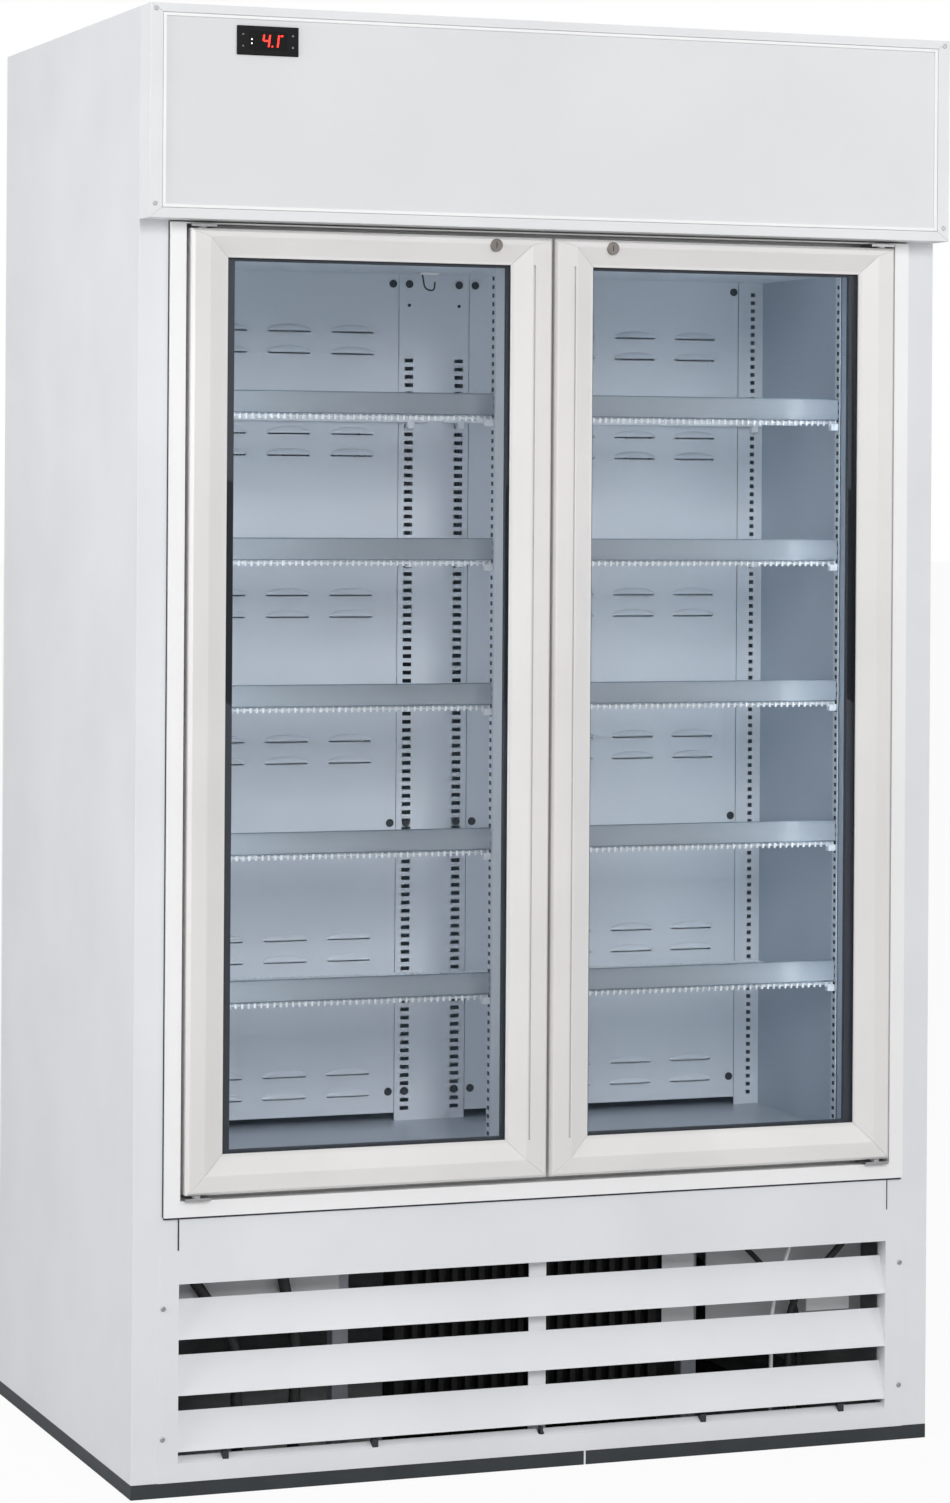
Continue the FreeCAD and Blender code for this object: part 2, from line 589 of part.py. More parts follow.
def build_grille():
    """Louvred front grille: plain band, sloping blades, ledge, strut, jambs and side flanges."""
    half = GRILLE_HALF
    across = (-half, half)
    face = (FRONT - SKIN, FRONT)
    bottom = dim("plinth_height")
    body = new_body("grille_front")
    flange = half + dim("grille_flange")
    ledge = dim("ledge_height")
    top = SURROUND_Z[0]
    shoulder, band = top - dim("grille_flange_drop"), BAND_BOTTOM
    pad(body, "XZ_Plane", face, [[
        (-flange, bottom), (flange, bottom), (flange, shoulder), (half, shoulder), (half, top), (-half, top),
        (-half, shoulder), (-flange, shoulder)]])
    pocket(body, "XZ_Plane", face, [rectangle(across, (ledge, band))])
    pieces = [body]
    jamb = dim("jamb_depth")
    for label, side in SIDES.items():
        pieces.append(block(f"{label}_grille_jamb", mirrored(side, half, half + SKIN), (FRONT, FRONT + jamb),
                            (ledge, band)))
    slope, hem, tall = dim("blade_slope"), dim("blade_hem"), dim("blade_height")
    first = band - dim("blade_gap")
    for index in range(copies(first - tall - ledge, dim("blade_pitch"))):
        blade = new_body(f"grille_blade_{index + 1}")
        upper = first - dim("blade_pitch") * index
        lower = upper - tall
        pad(blade, "YZ_Plane", across, [[
            (FRONT + slope, upper), (FRONT + slope + SKIN, upper), (FRONT + SKIN, lower + SKIN),
            (FRONT + hem, lower + SKIN), (FRONT + hem, lower), (FRONT, lower)]])
        pieces.append(blade)
    ledge_body = new_body("grille_ledge")
    shelf = dim("ledge_depth")
    pad(ledge_body, "YZ_Plane", across, [[
        (FRONT, ledge - SKIN), (FRONT + shelf, ledge + shelf - SKIN), (FRONT + shelf, ledge + shelf),
        (FRONT, ledge)]])
    notch = dim("notch_width")
    deep = (FRONT + dim("notch_rim"), FRONT + shelf)
    places = [0] + [dim(name) * side for name in ("notch_near", "notch_far") for side in SIDES.values()]
    pocket(ledge_body, "XY_Plane", (ledge - SKIN, ledge + shelf),
           [rectangle(centred(place, notch), deep) for place in places])
    pieces.append(ledge_body)
    strut = dim("strut_half_width")
    behind = FRONT + slope + SKIN
    pieces.append(block("grille_strut", (-strut, strut), (behind, behind + dim("strut_thickness")),
                        (ledge, band)))
    keep("louvre_grille", group("louvre_grille", pieces))
    wide = dim("grille_post_width")
    run = (depth(dim("grille_post_setback")), depth(dim("grille_post_setback")) + wide)
    rise = (TRAY_TOP, DECK - SKIN)
    posts = [block(f"{label}_deck_post", centred(dim("post_offset") * side, wide), run, rise)
             for label, side in SIDES.items()]
    keep("deck_posts", group("deck_posts", posts))


def build_canopy():
    """Projecting lit canopy: mitred frame, blank sign panel, lamp and thermostat."""
    nose = FRONT - dim("canopy_projection")
    wall, bead, step = dim("canopy_wall"), dim("canopy_bead"), dim("canopy_step")
    sign = nose + dim("sign_setback")

    def point(extra, y):
        sides = dim("canopy_side_lip") + extra
        return sides, sides, dim("canopy_bottom_lip") + extra, dim("canopy_top_lip") + extra, y

    profile = [(0, 0, 0, 0, nose), point(0, nose), point(0, nose + step), point(bead, nose + step),
               point(bead, sign), (wall, wall, wall, wall, sign), (wall, wall, wall, wall, FRONT),
               (0, 0, 0, 0, FRONT)]
    keep("canopy_frame", mitred_frame("canopy_frame", (-HALF, HALF), (CANOPY_BOTTOM, HEIGHT), profile))
    plate = (sign, sign + dim("sign_thickness"))
    panel = block("sign_sheet", (-HALF + wall, HALF - wall), plate, (CANOPY_BOTTOM + wall, HEIGHT - wall))
    middle, height = dim("thermostat_inset") - HALF, HEIGHT - dim("thermostat_drop")
    module = (centred(middle, dim("module_width")), centred(height, dim("module_height")))
    hole = block("sign_hole", module[0], plate, module[1])
    keep("canopy_sign_panel", minus("canopy_sign_panel", panel, [hole]))
    bezel = block("thermostat_bezel", centred(middle, dim("bezel_width")),
                  (sign - dim("bezel_thickness"), sign), centred(height, dim("bezel_height")))
    case = block("thermostat_case", module[0], (sign, sign + dim("module_depth")), module[1])
    keep("thermostat", joined("thermostat", [bezel, case]))
    y, level = FRONT - dim("lamp_setback"), (CANOPY_BOTTOM + HEIGHT) / 2
    reach = HALF - wall - dim("holder_length")
    tube = rod("lamp_tube", "x", (-reach, y, level), dim("lamp_radius"), reach * 2)
    holders = [block(f"{label}_lamp_holder", mirrored(side, reach, HALF - wall),
                     centred(y, dim("holder_depth")), centred(level, dim("holder_height")))
               for label, side in SIDES.items()]
    keep("sign_lamp", group("sign_lamp", [tube] + holders))


def build_lamp_strips():
    """Vertical lamp strips inside the cold space, just behind the door surround."""
    rise = (FLOOR + dim("lamp_strip_foot"), CEILING - dim("lamp_strip_head"))
    run = (BOX_FRONT, BOX_FRONT + dim("lamp_strip_depth"))
    strips = [block(f"{label}_lamp_strip", mirrored(side, LINER - dim("lamp_strip_width"), LINER), run, rise)
              for label, side in SIDES.items()]
    keep("interior_lamps", group("interior_lamps", strips))


def door_spans(side):
    """X span of a door, from the meeting stile's edge to the hinge stile's edge."""
    return mirrored(side, DOOR_INNER, DOOR_OUTER)


def door_insets(side, hinge, handle, bottom, top):
    """Order the four insets as left, right, bottom, top."""
    return (hinge, handle, bottom, top) if side < 0 else (handle, hinge, bottom, top)


def door_profile(side):
    """Rounded outer edge, flat band, slope to a bead, and a pocket that grips the glazing."""
    widths = [dim(name) for name in ("hinge_stile", "handle_stile", "bottom_rail", "top_rail")]

    def edge(inset, y):
        return (inset, inset, inset, inset, y)

    def inner(back_off, y):
        return (*door_insets(side, *(width - back_off for width in widths)), y)

    slope_face = DOOR_FRONT + dim("slope_drop")
    return [
        edge(0, DOOR_BACK), edge(0, DOOR_FRONT + dim("edge_drop")), edge(dim("edge_round"), DOOR_FRONT),
        inner(dim("slope_run"), DOOR_FRONT), inner(dim("bead_width"), slope_face), inner(0, slope_face),
        inner(0, POCKET[0]), inner(dim("pocket_depth"), POCKET[0]), inner(dim("pocket_depth"), POCKET[1]),
        inner(0, POCKET[1]), inner(0, DOOR_BACK),
    ]


def build_door(label, side):
    """One hinged glass door: mitred frame, sealed glazing unit and magnetic gasket."""
    across = door_spans(side)
    frame = mitred_frame(f"{label}_frame_members", across, DOOR_Z, door_profile(side))
    fit = dim("pin_fit")
    bore = dim("pin_radius") + fit
    sunk = dim("pin_depth") + dim("seal_gap")
    pivot = PIVOT_X * side
    grip = DOOR_INNER + dim("grip_inset")
    tools = [
        rod(f"{label}_lower_bore", "z", (pivot, PIVOT_Y, DOOR_Z[0]), bore, sunk),
        rod(f"{label}_upper_bore", "z", (pivot, PIVOT_Y, DOOR_Z[1] - sunk), bore, sunk),
        rod(f"{label}_lock_bore", "y", (dim("lock_offset") * side, DOOR_FRONT, LOCK_Z),
            dim("lock_radius") + fit, dim("door_thickness")),
        block(f"{label}_grip_groove", mirrored(side, grip, grip + dim("grip_width")),
              (DOOR_FRONT, DOOR_FRONT + dim("grip_depth")),
              (DOOR_Z[0] + dim("bottom_rail"), DOOR_Z[1] - dim("top_rail"))),
    ]
    keep(f"{label}_door_frame", minus(f"{label}_door_frame", frame, tools))
    keep(f"{label}_door_glazing", glazing(label, side))
    inset, wide = dim("gasket_inset"), dim("gasket_width")
    keep(f"{label}_door_gasket", mitred_frame(f"{label}_door_gasket", across, DOOR_Z, [
        (inset,) * 4 + (DOOR_BACK,), (inset + wide,) * 4 + (DOOR_BACK,),
        (inset + wide,) * 4 + (LAND - dim("seal_gap"),), (inset,) * 4 + (LAND - dim("seal_gap"),)]))


def glazing(label, side):
    """Two panes held apart by a spacer bar, seated in the frame's pocket."""
    across = door_spans(side)
    names = ("hinge_stile", "handle_stile", "bottom_rail", "top_rail")
    sunk = dim("pocket_depth") - dim("pocket_clearance")
    left, right, bottom, top = door_insets(side, *(dim(name) - sunk for name in names))
    x = (across[0] + left, across[1] - right)
    z = (DOOR_Z[0] + bottom, DOOR_Z[1] - top)
    pane, gap = dim("pane_thickness"), dim("pane_gap")
    bar = dim("spacer_width")
    between = (POCKET[0] + pane, POCKET[0] + pane + gap)
    outer = block(f"{label}_outer_pane", x, (POCKET[0], between[0]), z)
    inner = block(f"{label}_inner_pane", x, (between[1], POCKET[1]), z)
    rim = block(f"{label}_spacer_rim", x, between, z)
    hollow = block(f"{label}_spacer_hollow", (x[0] + bar, x[1] - bar), between, (z[0] + bar, z[1] - bar))
    return group(f"{label}_door_glazing", [outer, minus(f"{label}_spacer", rim, [hollow]), inner])


def build_lock(label, side):
    """A cylinder lock in the top rail: fixed barrel, and a plug with its keyway and cam."""
    middle = dim("lock_offset") * side
    nose = DOOR_FRONT - dim("lock_proud")
    length = dim("door_thickness") + dim("lock_proud")
    plug = dim("plug_radius")
    sleeve = rod(f"{label}_barrel_sleeve", "y", (middle, nose, LOCK_Z), dim("lock_radius"), length)
    bore = rod(f"{label}_barrel_bore", "y", (middle, nose, LOCK_Z), plug, length)
    keep(f"{label}_lock_barrel", minus(f"{label}_lock_barrel", sleeve, [bore]))
    core = rod(f"{label}_plug_core", "y", (middle, nose, LOCK_Z), plug - dim("pin_fit"),
               length + dim("cam_gap"))
    tail = DOOR_BACK + dim("cam_gap")
    cam = block(f"{label}_lock_cam", mirrored(side, dim("lock_offset") - dim("cam_width") / 2,
                                              dim("lock_offset") + dim("cam_length")),
                (tail, tail + dim("cam_thickness")), centred(LOCK_Z, dim("cam_width")))
    keyway = block(f"{label}_keyway", centred(middle, dim("keyway_width")),
                   (nose, nose + dim("keyway_depth")), centred(LOCK_Z, dim("keyway_length")))
    whole = joined(f"{label}_plug_and_cam", [core, cam])
    keep(f"{label}_lock_plug", minus(f"{label}_lock_plug", whole, [keyway]))


def build_hinges():
    """Four pivot brackets on the surround, each with a shouldered pin that enters a door rail."""
    thick = dim("hinge_plate")
    brackets = []
    for label, side in SIDES.items():
        across = centred(PIVOT_X * side, dim("hinge_plate_width"))
        run = (LAND - dim("hinge_plate_depth"), LAND)
        for end, seat, rail, way in (("lower", SILL_TOP, DOOR_Z[0], 1), ("upper", HEAD_UNDER, DOOR_Z[1], -1)):
            face = seat + thick * way
            tip = rail + dim("pin_depth") * way
            shoulder = rail - dim("seal_gap") * way
            plate = block(f"{label}_{end}_plate", across, run, (seat, face) if way > 0 else (face, seat))
            low = face if way > 0 else shoulder
            collar = prism(f"{label}_{end}_shoulder", (PIVOT_X * side, PIVOT_Y, low), FOOT_SIDES,
                           dim("shoulder_radius"), (shoulder - face) * way)
            low = face if way > 0 else tip
            pin = rod(f"{label}_{end}_pin", "z", (PIVOT_X * side, PIVOT_Y, low), dim("pin_radius"),
                      (tip - face) * way)
            brackets.append(joined(f"{label}_{end}_bracket", [plate, collar, pin]))
    keep("hinge_brackets", group("hinge_brackets", brackets))


def finned_block(name, x, y, z, pitch):
    """A coil block with grooves between its fins on the face that takes the air."""
    body = new_body(name)
    pad(body, "XY_Plane", z, [rectangle(x, y)])
    gap = dim("fin_gap")
    count = int((float(x[1]) - float(x[0])) / float(pitch)) - 1
    first = (x[0] + x[1]) / 2 - pitch * (count - 1) / 2
    groove = pocket(body, "XY_Plane", z, [rectangle(centred(first, gap), (y[0], y[0] + dim("fin_groove")))])
    repeat(body, [groove], "H_Axis", pitch, count)
    return body


def fan_rotor(name, middle, height, front, radius):
    """Moulded hub, shaft and pitched blades that turn about Y."""
    hub, length = float(dim("hub_radius")), float(dim("hub_length"))
    axis, along = Vector(float(middle), float(front), float(height)), Vector(0, 1, 0)
    spokes = [Rotation(along, 360 / HUB_SIDES * side) for side in range(HUB_SIDES)]
    rim = [axis + spoke.multVec(Vector(hub, 0, 0)) for spoke in spokes]
    shape = Part.Face(Part.makePolygon(rim + rim[:1])).extrude(along * length)
    shaft = Part.makeCylinder(float(dim("shaft_radius")), length + float(dim("shaft_length")), axis, along)
    shape = shape.fuse(shaft)
    chord, thick = float(dim("blade_chord")), float(dim("blade_thickness"))
    for index in range(FAN_BLADES):
        blade = Part.makeBox(chord, thick, float(radius) - hub / 2, Vector(-chord / 2, -thick / 2, hub / 2))
        blade.rotate(Vector(), Vector(0, 0, 1), float(dim("blade_twist")))
        blade.rotate(Vector(), Vector(0, 1, 0), 360 / FAN_BLADES * index)
        blade.translate(axis + Vector(0, length / 2, 0))
        shape = shape.fuse(blade)
    item = doc.addObject("Part::Feature", name)
    item.Shape = shape.removeSplitter()
    return item


def motor_bore(name, middle, height, start, length):
    """The running bore that a fan shaft turns in."""
    return rod(name, "y", (middle, start, height), dim("shaft_radius") + dim("pin_fit"), length)


def build_machinery():
    """Condenser, fan and compressor on the tray, seen through the front grille."""
    half = dim("coil_half_width")
    coil = (depth(dim("coil_setback")), depth(dim("coil_setback")) + dim("coil_thickness"))
    bore_radius, shroud = dim("shroud_bore"), dim("shroud_depth")
    wide = bore_radius + dim("shroud_margin")
    level = TRAY_TOP + dim("shroud_foot") + bore_radius
    rise = (TRAY_TOP, level + bore_radius + dim("shroud_rim"))
    keep("condenser_coil", finned_block("condenser_coil", (-half, half), coil, rise, dim("fin_pitch")))
    plate = block("shroud_plate", (-wide, wide), (coil[1], coil[1] + shroud), rise)
    hole = rod("shroud_hole", "y", (0, coil[1], level), bore_radius, shroud)
    keep("condenser_shroud", minus("condenser_shroud", plate, [hole]))
    fan_front = coil[1] + (shroud - dim("hub_length")) / 2
    fan_radius = bore_radius - dim("fan_clearance")
    keep("condenser_fan", fan_rotor("condenser_fan", 0, level, fan_front, fan_radius))
    start, length = coil[1] + shroud + dim("motor_gap"), dim("motor_length")
    run = (start, start + length)
    case = block("motor_case", centred(0, dim("motor_width")), run, centred(level, dim("motor_width")))
    foot = block("motor_foot", centred(0, dim("motor_foot")), run, (TRAY_TOP, level))
    bore = motor_bore("motor_bore", 0, level, start, length)
    keep("condenser_fan_motor", minus("condenser_fan_motor", joined("motor_and_foot", [case, foot]), [bore]))
    build_compressor()


def build_compressor():
    """A hermetic compressor can, revolved, on a base plate with rubber grommets."""
    x, y = HALF - dim("compressor_inset"), REAR - dim("compressor_setback")
    grip, half = dim("grommet_height"), dim("base_plate_half")
    plate_low = TRAY_TOP + grip
    base = plate_low + dim("base_plate")
    plate = block("compressor_plate", centred(x, half * 2), centred(y, half * 2), (plate_low, base))
    body = new_body("compressor_can")
    radius, tall, crown = dim("compressor_radius"), dim("compressor_height"), dim("compressor_crown")
    spin = body.newObject("PartDesign::Revolution", "compressor_spin")
    spin.Profile = sketched(body, "XZ_Plane", 0, [[
        (0, base), (radius, base), (radius, base + tall - crown), (radius - crown, base + tall),
        (0, base + tall)]])
    spin.ReferenceAxis = (spin.Profile[0], ["V_Axis"])
    spin.Angle = 360
    body.setExpression("Placement.Base.x", x.formula)
    body.setExpression("Placement.Base.y", y.formula)
    wide = dim("grommet_width")
    inset = half - wide / 2
    grommets = [block(f"{label}_{end}_grommet", centred(x + inset * side, wide),
                      centred(y + inset * along, wide), (TRAY_TOP, plate_low))
                for label, side in SIDES.items() for end, along in (("front", -1), ("rear", 1))]
    keep("compressor", group("compressor", [body, plate] + grommets))


def build_evaporator():
    """Cold coil on end plates fixed to the back lining, with its fan below it."""
    half = LINER - dim("evaporator_end_gap")
    front = REAR_WALL + dim("evaporator_setback")
    top = CEILING - dim("evaporator_drop")
    rise = (top - dim("evaporator_rise"), top)
    coil = finned_block("evaporator_core", (-half, half), (front, front + dim("evaporator_thickness")), rise,
                        dim("fin_pitch") * 2)
    plates = [block(f"{label}_coil_plate", mirrored(side, half, half + dim("end_plate")),
                    (front, LINER_BACK), rise) for label, side in SIDES.items()]
    keep("evaporator_coil", group("evaporator_coil", [coil] + plates))
    level, length = rise[0] - dim("cold_fan_drop"), dim("cold_motor_length")
    start, wide = LINER_BACK - length, dim("cold_motor_width")
    case = block("cold_motor_case", centred(0, wide), (start, LINER_BACK), centred(level, wide))
    bore = motor_bore("cold_motor_bore", 0, level, start, length)
    keep("evaporator_fan_motor", minus("evaporator_fan_motor", case, [bore]))
    fan_front = start - dim("motor_gap") - dim("hub_length")
    keep("evaporator_fan", fan_rotor("evaporator_fan", 0, level, fan_front, dim("cold_fan_radius")))


def build():
    """Make every sub-part in the order in which the cooler is put together."""
    build_base()
    build_skin()
    build_liner()
    build_surround()
    build_rear_wall()
    build_shelf_posts()
    build_shelves()
    build_grille()
    build_canopy()
    build_lamp_strips()
    for label, side in SIDES.items():
        build_door(label, side)
        build_lock(label, side)
    build_hinges()
    build_machinery()
    build_evaporator()


def write_parts():
    """Check every object of the document, then write each node to its own file."""
    doc.recompute()
    failed = [item.Label for item in doc.Objects if {"Invalid", "Error"} & set(item.State)]
    if failed:
        raise RuntimeError(f"objects that failed: {failed}")
    for name, item in nodes.items():
        if item.Shape.isNull() or not item.Shape.isValid():
            raise RuntimeError(f"bad shape: {name}")
    os.makedirs("parts", exist_ok=True)
    triangles = 0
    for name, item in nodes.items():
        item.Shape.exportStep(f"parts/{name}.step")
        triangles += len(item.Shape.tessellate(TESSELLATION)[1])
    print(f"{len(nodes)} nodes, about {triangles} triangles")


build()
write_parts()
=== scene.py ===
"""A two-door glass-front display cooler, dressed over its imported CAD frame, in metres."""
import logging
import math
from collections.abc import Callable, Iterator, Sequence
from contextlib import contextmanager
from dataclasses import dataclass
from enum import Enum

import bmesh
import bpy
from mathutils import Matrix, Vector


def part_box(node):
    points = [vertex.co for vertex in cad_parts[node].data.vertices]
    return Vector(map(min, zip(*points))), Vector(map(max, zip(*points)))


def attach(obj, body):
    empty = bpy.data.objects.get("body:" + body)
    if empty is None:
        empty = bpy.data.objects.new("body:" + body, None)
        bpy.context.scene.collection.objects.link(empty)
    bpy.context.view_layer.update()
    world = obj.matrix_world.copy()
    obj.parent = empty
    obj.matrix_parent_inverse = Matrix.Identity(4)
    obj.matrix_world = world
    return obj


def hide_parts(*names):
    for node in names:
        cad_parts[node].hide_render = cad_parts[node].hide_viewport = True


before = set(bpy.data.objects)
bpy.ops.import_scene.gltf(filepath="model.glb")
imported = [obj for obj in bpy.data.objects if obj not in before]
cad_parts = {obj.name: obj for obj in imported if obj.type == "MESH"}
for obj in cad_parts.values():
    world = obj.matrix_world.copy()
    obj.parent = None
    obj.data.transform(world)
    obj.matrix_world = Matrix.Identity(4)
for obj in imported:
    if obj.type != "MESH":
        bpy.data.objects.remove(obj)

LOG = logging.getLogger("cooler")
MM = 0.001
SIDES = {"left": -1, "right": 1}
CABINET = "cabinet"
ORIGIN = (0, 0, 0)
FRONT = (0, -1, 0)
HALF_TURN = 180
# Shares, reaches and angles that the modelling moves use.
STRAIGHT = 0.99
TOUCH = 0.001 * MM
WELD = 0.01 * MM
BELOW = Vector((0, 0, 10))
FLAT_ANGLE = 1
TURNED_ANGLE = 35
ROUND_ANGLE = 40
BEND_FACES = 5
# Scale of a wave texture that repeats once in a metre.
WAVE = math.pi / 10

Colour = tuple[float, float, float, float]
Point = tuple[float, float, float]
Span = tuple[float, float]
Profile = Sequence[tuple[float, ...]]
Piece = bpy.types.Object
Socket = bpy.types.NodeSocket
Input = Socket | float | Sequence[float]


def display(red: int, green: int, blue: int) -> Colour:
    """Turn sRGB display levels into a scene colour.

    Args:
        red: Level of red, 0 to 255.
        green: Level of green, 0 to 255.
        blue: Level of blue, 0 to 255.

    Returns:
        The linear colour with full alpha.
    """
    shares = [level / 255 for level in (red, green, blue)]
    return (*(s / 12.92 if s <= 0.04045 else ((s + 0.055) / 1.055) ** 2.4 for s in shares), 1.0)


def shaded(colour: Colour, factor: float) -> Colour:
    """Give a colour darkened or lightened by a factor."""
    return (*(min(1.0, part * factor) for part in colour[:3]), 1.0)


class Graph:
    """A node tree, and short calls that add nodes to it."""

    def __init__(self, tree: bpy.types.NodeTree) -> None:
        """Take up a tree.

        Args:
            tree: The material's or the world's node tree.
        """
        self.tree = tree

    def feed(self, socket: Socket, value: Input) -> None:
        """Link an output to a socket, or set a constant on it.

        Args:
            socket: The socket.
            value: The output or the constant.
        """
        if isinstance(value, bpy.types.NodeSocket):
            self.tree.links.new(value, socket)
        else:
            socket.default_value = value

    def set(self, node: bpy.types.Node, **inputs: Input) -> None:
        """Feed a node's sockets, named with _ for each blank."""
        for name, value in inputs.items():
            self.feed(node.inputs[name.replace("_", " ")], value)

    def add(self, kind: str, **inputs: Input) -> bpy.types.Node:
        """Add a node and feed its sockets.

        Args:
            kind: The node's type, without its prefix.
            inputs: What its sockets get, named with _ for each blank.

        Returns:
            The node.
        """
        node = self.tree.nodes.new(f"ShaderNode{kind}")
        self.set(node, **inputs)
        return node

    def work(self, operation: str, first: Socket, second: Socket | float) -> Socket:
        """Work out a factor from two others.

        Args:
            operation: The Math node's operation.
            first: The first factor.
            second: The second factor, or a number.

        Returns:
            The result.
        """
        node = self.add("Math")
        node.operation = operation
        for socket, value in zip(node.inputs, (first, second)):
            self.feed(socket, value)
        return node.outputs["Value"]


class Shader(Graph):
    """A material with a Principled shader, and the patterns that the finishes share."""

    def __init__(self, name: str) -> None:
        """Make the material.

        Args:
            name: The material's name.
        """
        self.material = bpy.data.materials.new(name)
        self.material.use_nodes = True
        super().__init__(self.material.node_tree)
        self.base = self.tree.nodes["Principled BSDF"]

    def surface(self, **inputs: Input) -> None:
        """Feed the Principled shader's own sockets, named with _ for each blank."""
        self.set(self.base, **inputs)

    def place(self, stretch: Point = (1, 1, 1)) -> Socket:
        """Read Object coordinates, stretched along X, Y and Z."""
        where = self.add("TexCoord").outputs["Object"]
        return self.add("Mapping", Vector=where, Scale=stretch).outputs["Vector"]

    def noise(self, scale: float, detail: float = 2, stretch: Point = (1, 1, 1)) -> Socket:
        """Add a noise pattern.

        Args:
            scale: Cells per metre.
            detail: Octaves.
            stretch: Stretch of the pattern along X, Y and Z.

        Returns:
            The noise's factor.
        """
        return self.add("TexNoise", Vector=self.place(stretch), Scale=scale, Detail=detail).outputs["Fac"]

    def stripes(self, pitch: float) -> Socket:
        """Add even bands across X, a pitch in metres apart."""
        return self.add("TexWave", Vector=self.place(), Scale=WAVE / pitch).outputs["Fac"]

    def ramp(self, source: Socket, low: Colour, high: Colour, reach: Span = (0.3, 0.7)) -> None:
        """Colour the base between two tones.

        Args:
            source: The factor that picks the tone.
            low: Tone at the low end.
            high: Tone at the high end.
            reach: Factors of the two ends.
        """
        node = self.add("ValToRGB", Fac=source)
        for stop, place, tone in zip(node.color_ramp.elements, reach, (low, high)):
            stop.position = place
            stop.color = tone
        self.surface(Base_Color=node.outputs["Color"])

    def gloss(self, source: Socket, low: float, high: float) -> None:
        """Let the roughness follow a factor from a low to a high value."""
        self.surface(Roughness=self.add("MapRange", Value=source, To_Min=low, To_Max=high).outputs["Result"])

    def bump(self, source: Socket, depth: float, strength: float = 0.5) -> None:
        """Raise the surface by a factor.

        Args:
            source: The height's factor.
            depth: Height in metres.
            strength: Share of the effect.
        """
        node = self.add("Bump", Height=source, Distance=depth, Strength=strength)
        self.surface(Normal=node.outputs["Normal"])


@dataclass(frozen=True)
class Skin:
    """A painted, plated or moulded surface: clouded tone, fine texture and uneven gloss."""

    name: str
    colour: Colour
    roughness: float = 0.4
    clouding: float = 0.04
    cloud_scale: float = 5
    grain_scale: float = 650
    grain_depth: float = 0.06 * MM
    stretch: Point = (1, 1, 1)
    metallic: float = 0
    coat: float = 0
    specular: float = 0.5
    cloud_detail: float = 4
    gloss_spread: float = 0.06
    coat_roughness: float = 0.12

    def make(self) -> bpy.types.Material:
        """Build the material.

        Returns:
            The material.
        """
        shader = Shader(self.name)
        cloud = shader.noise(self.cloud_scale, self.cloud_detail)
        shader.ramp(cloud, shaded(self.colour, 1 - self.clouding), shaded(self.colour, 1 + self.clouding / 2))
        grain = shader.noise(self.grain_scale, stretch=self.stretch)
        shader.gloss(grain, self.roughness - self.gloss_spread, self.roughness + self.gloss_spread)
        shader.bump(grain, self.grain_depth)
        shader.surface(Metallic=self.metallic, Coat_Weight=self.coat, Coat_Roughness=self.coat_roughness,
                       Specular_IOR_Level=self.specular)
        return shader.material


@dataclass(frozen=True)
class Clear:
    """Clear glass or acrylic with a faint tint, a slow ripple and uneven polish."""

    name: str
    colour: Colour
    alpha: float
    roughness: float = 0.03
    ior: float = 1.5
    smear_scale: float = 9
    smear_detail: float = 3
    smear_stretch: Point = (1, 1, 0.4)
    smear_tone: float = 0.94
    smear_gloss: float = 0.04
    ripple_scale: float = 3
    ripple_detail: float = 1
    ripple_depth: float = 0.4 * MM
    ripple_share: float = 0.15

    def make(self) -> bpy.types.Material:
        """Build the material.

        Returns:
            The material.
        """
        shader = Shader(self.name)
        smear = shader.noise(self.smear_scale, self.smear_detail, self.smear_stretch)
        shader.ramp(smear, shaded(self.colour, self.smear_tone), self.colour)
        shader.gloss(smear, self.roughness, self.roughness + self.smear_gloss)
        shader.bump(shader.noise(self.ripple_scale, self.ripple_detail), self.ripple_depth, self.ripple_share)
        shader.surface(Alpha=self.alpha, IOR=self.ior)
        return shader.material


@dataclass(frozen=True)
class Lit:
    """A lamp cover or a display segment that gives light, a little uneven along its length."""

    name: str
    colour: Colour
    glow: float
    roughness: float = 0.35
    cloud_scale: float = 20
    cloud_tone: float = 0.92

    def make(self) -> bpy.types.Material:
        """Build the material.

        Returns:
            The material.
        """
        shader = Shader(self.name)
        shader.ramp(shader.noise(self.cloud_scale), shaded(self.colour, self.cloud_tone), self.colour)
        shader.surface(Emission_Color=self.colour, Emission_Strength=self.glow, Roughness=self.roughness)
        return shader.material


@dataclass(frozen=True)
class Finned:
    """A pack of thin fins: fine bands, darker towards the gaps between them as painted shade."""

    name: str
    colour: Colour
    pitch: float
    metallic: float = 0
    roughness: float = 0.65
    gap_shade_tone: float = 0.6
    gap_shade_reach: Span = (0.2, 0.6)
    depth: float = 0.6 * MM

    def make(self) -> bpy.types.Material:
        """Build the material.

        Returns:
            The material.
        """
        shader = Shader(self.name)
        bands = shader.stripes(self.pitch)
        # Painted shade: the bands darken into the gaps between the fins.
        shader.ramp(bands, shaded(self.colour, self.gap_shade_tone), self.colour, self.gap_shade_reach)
        shader.bump(bands, self.depth)
        shader.surface(Metallic=self.metallic, Roughness=self.roughness)
        return shader.material


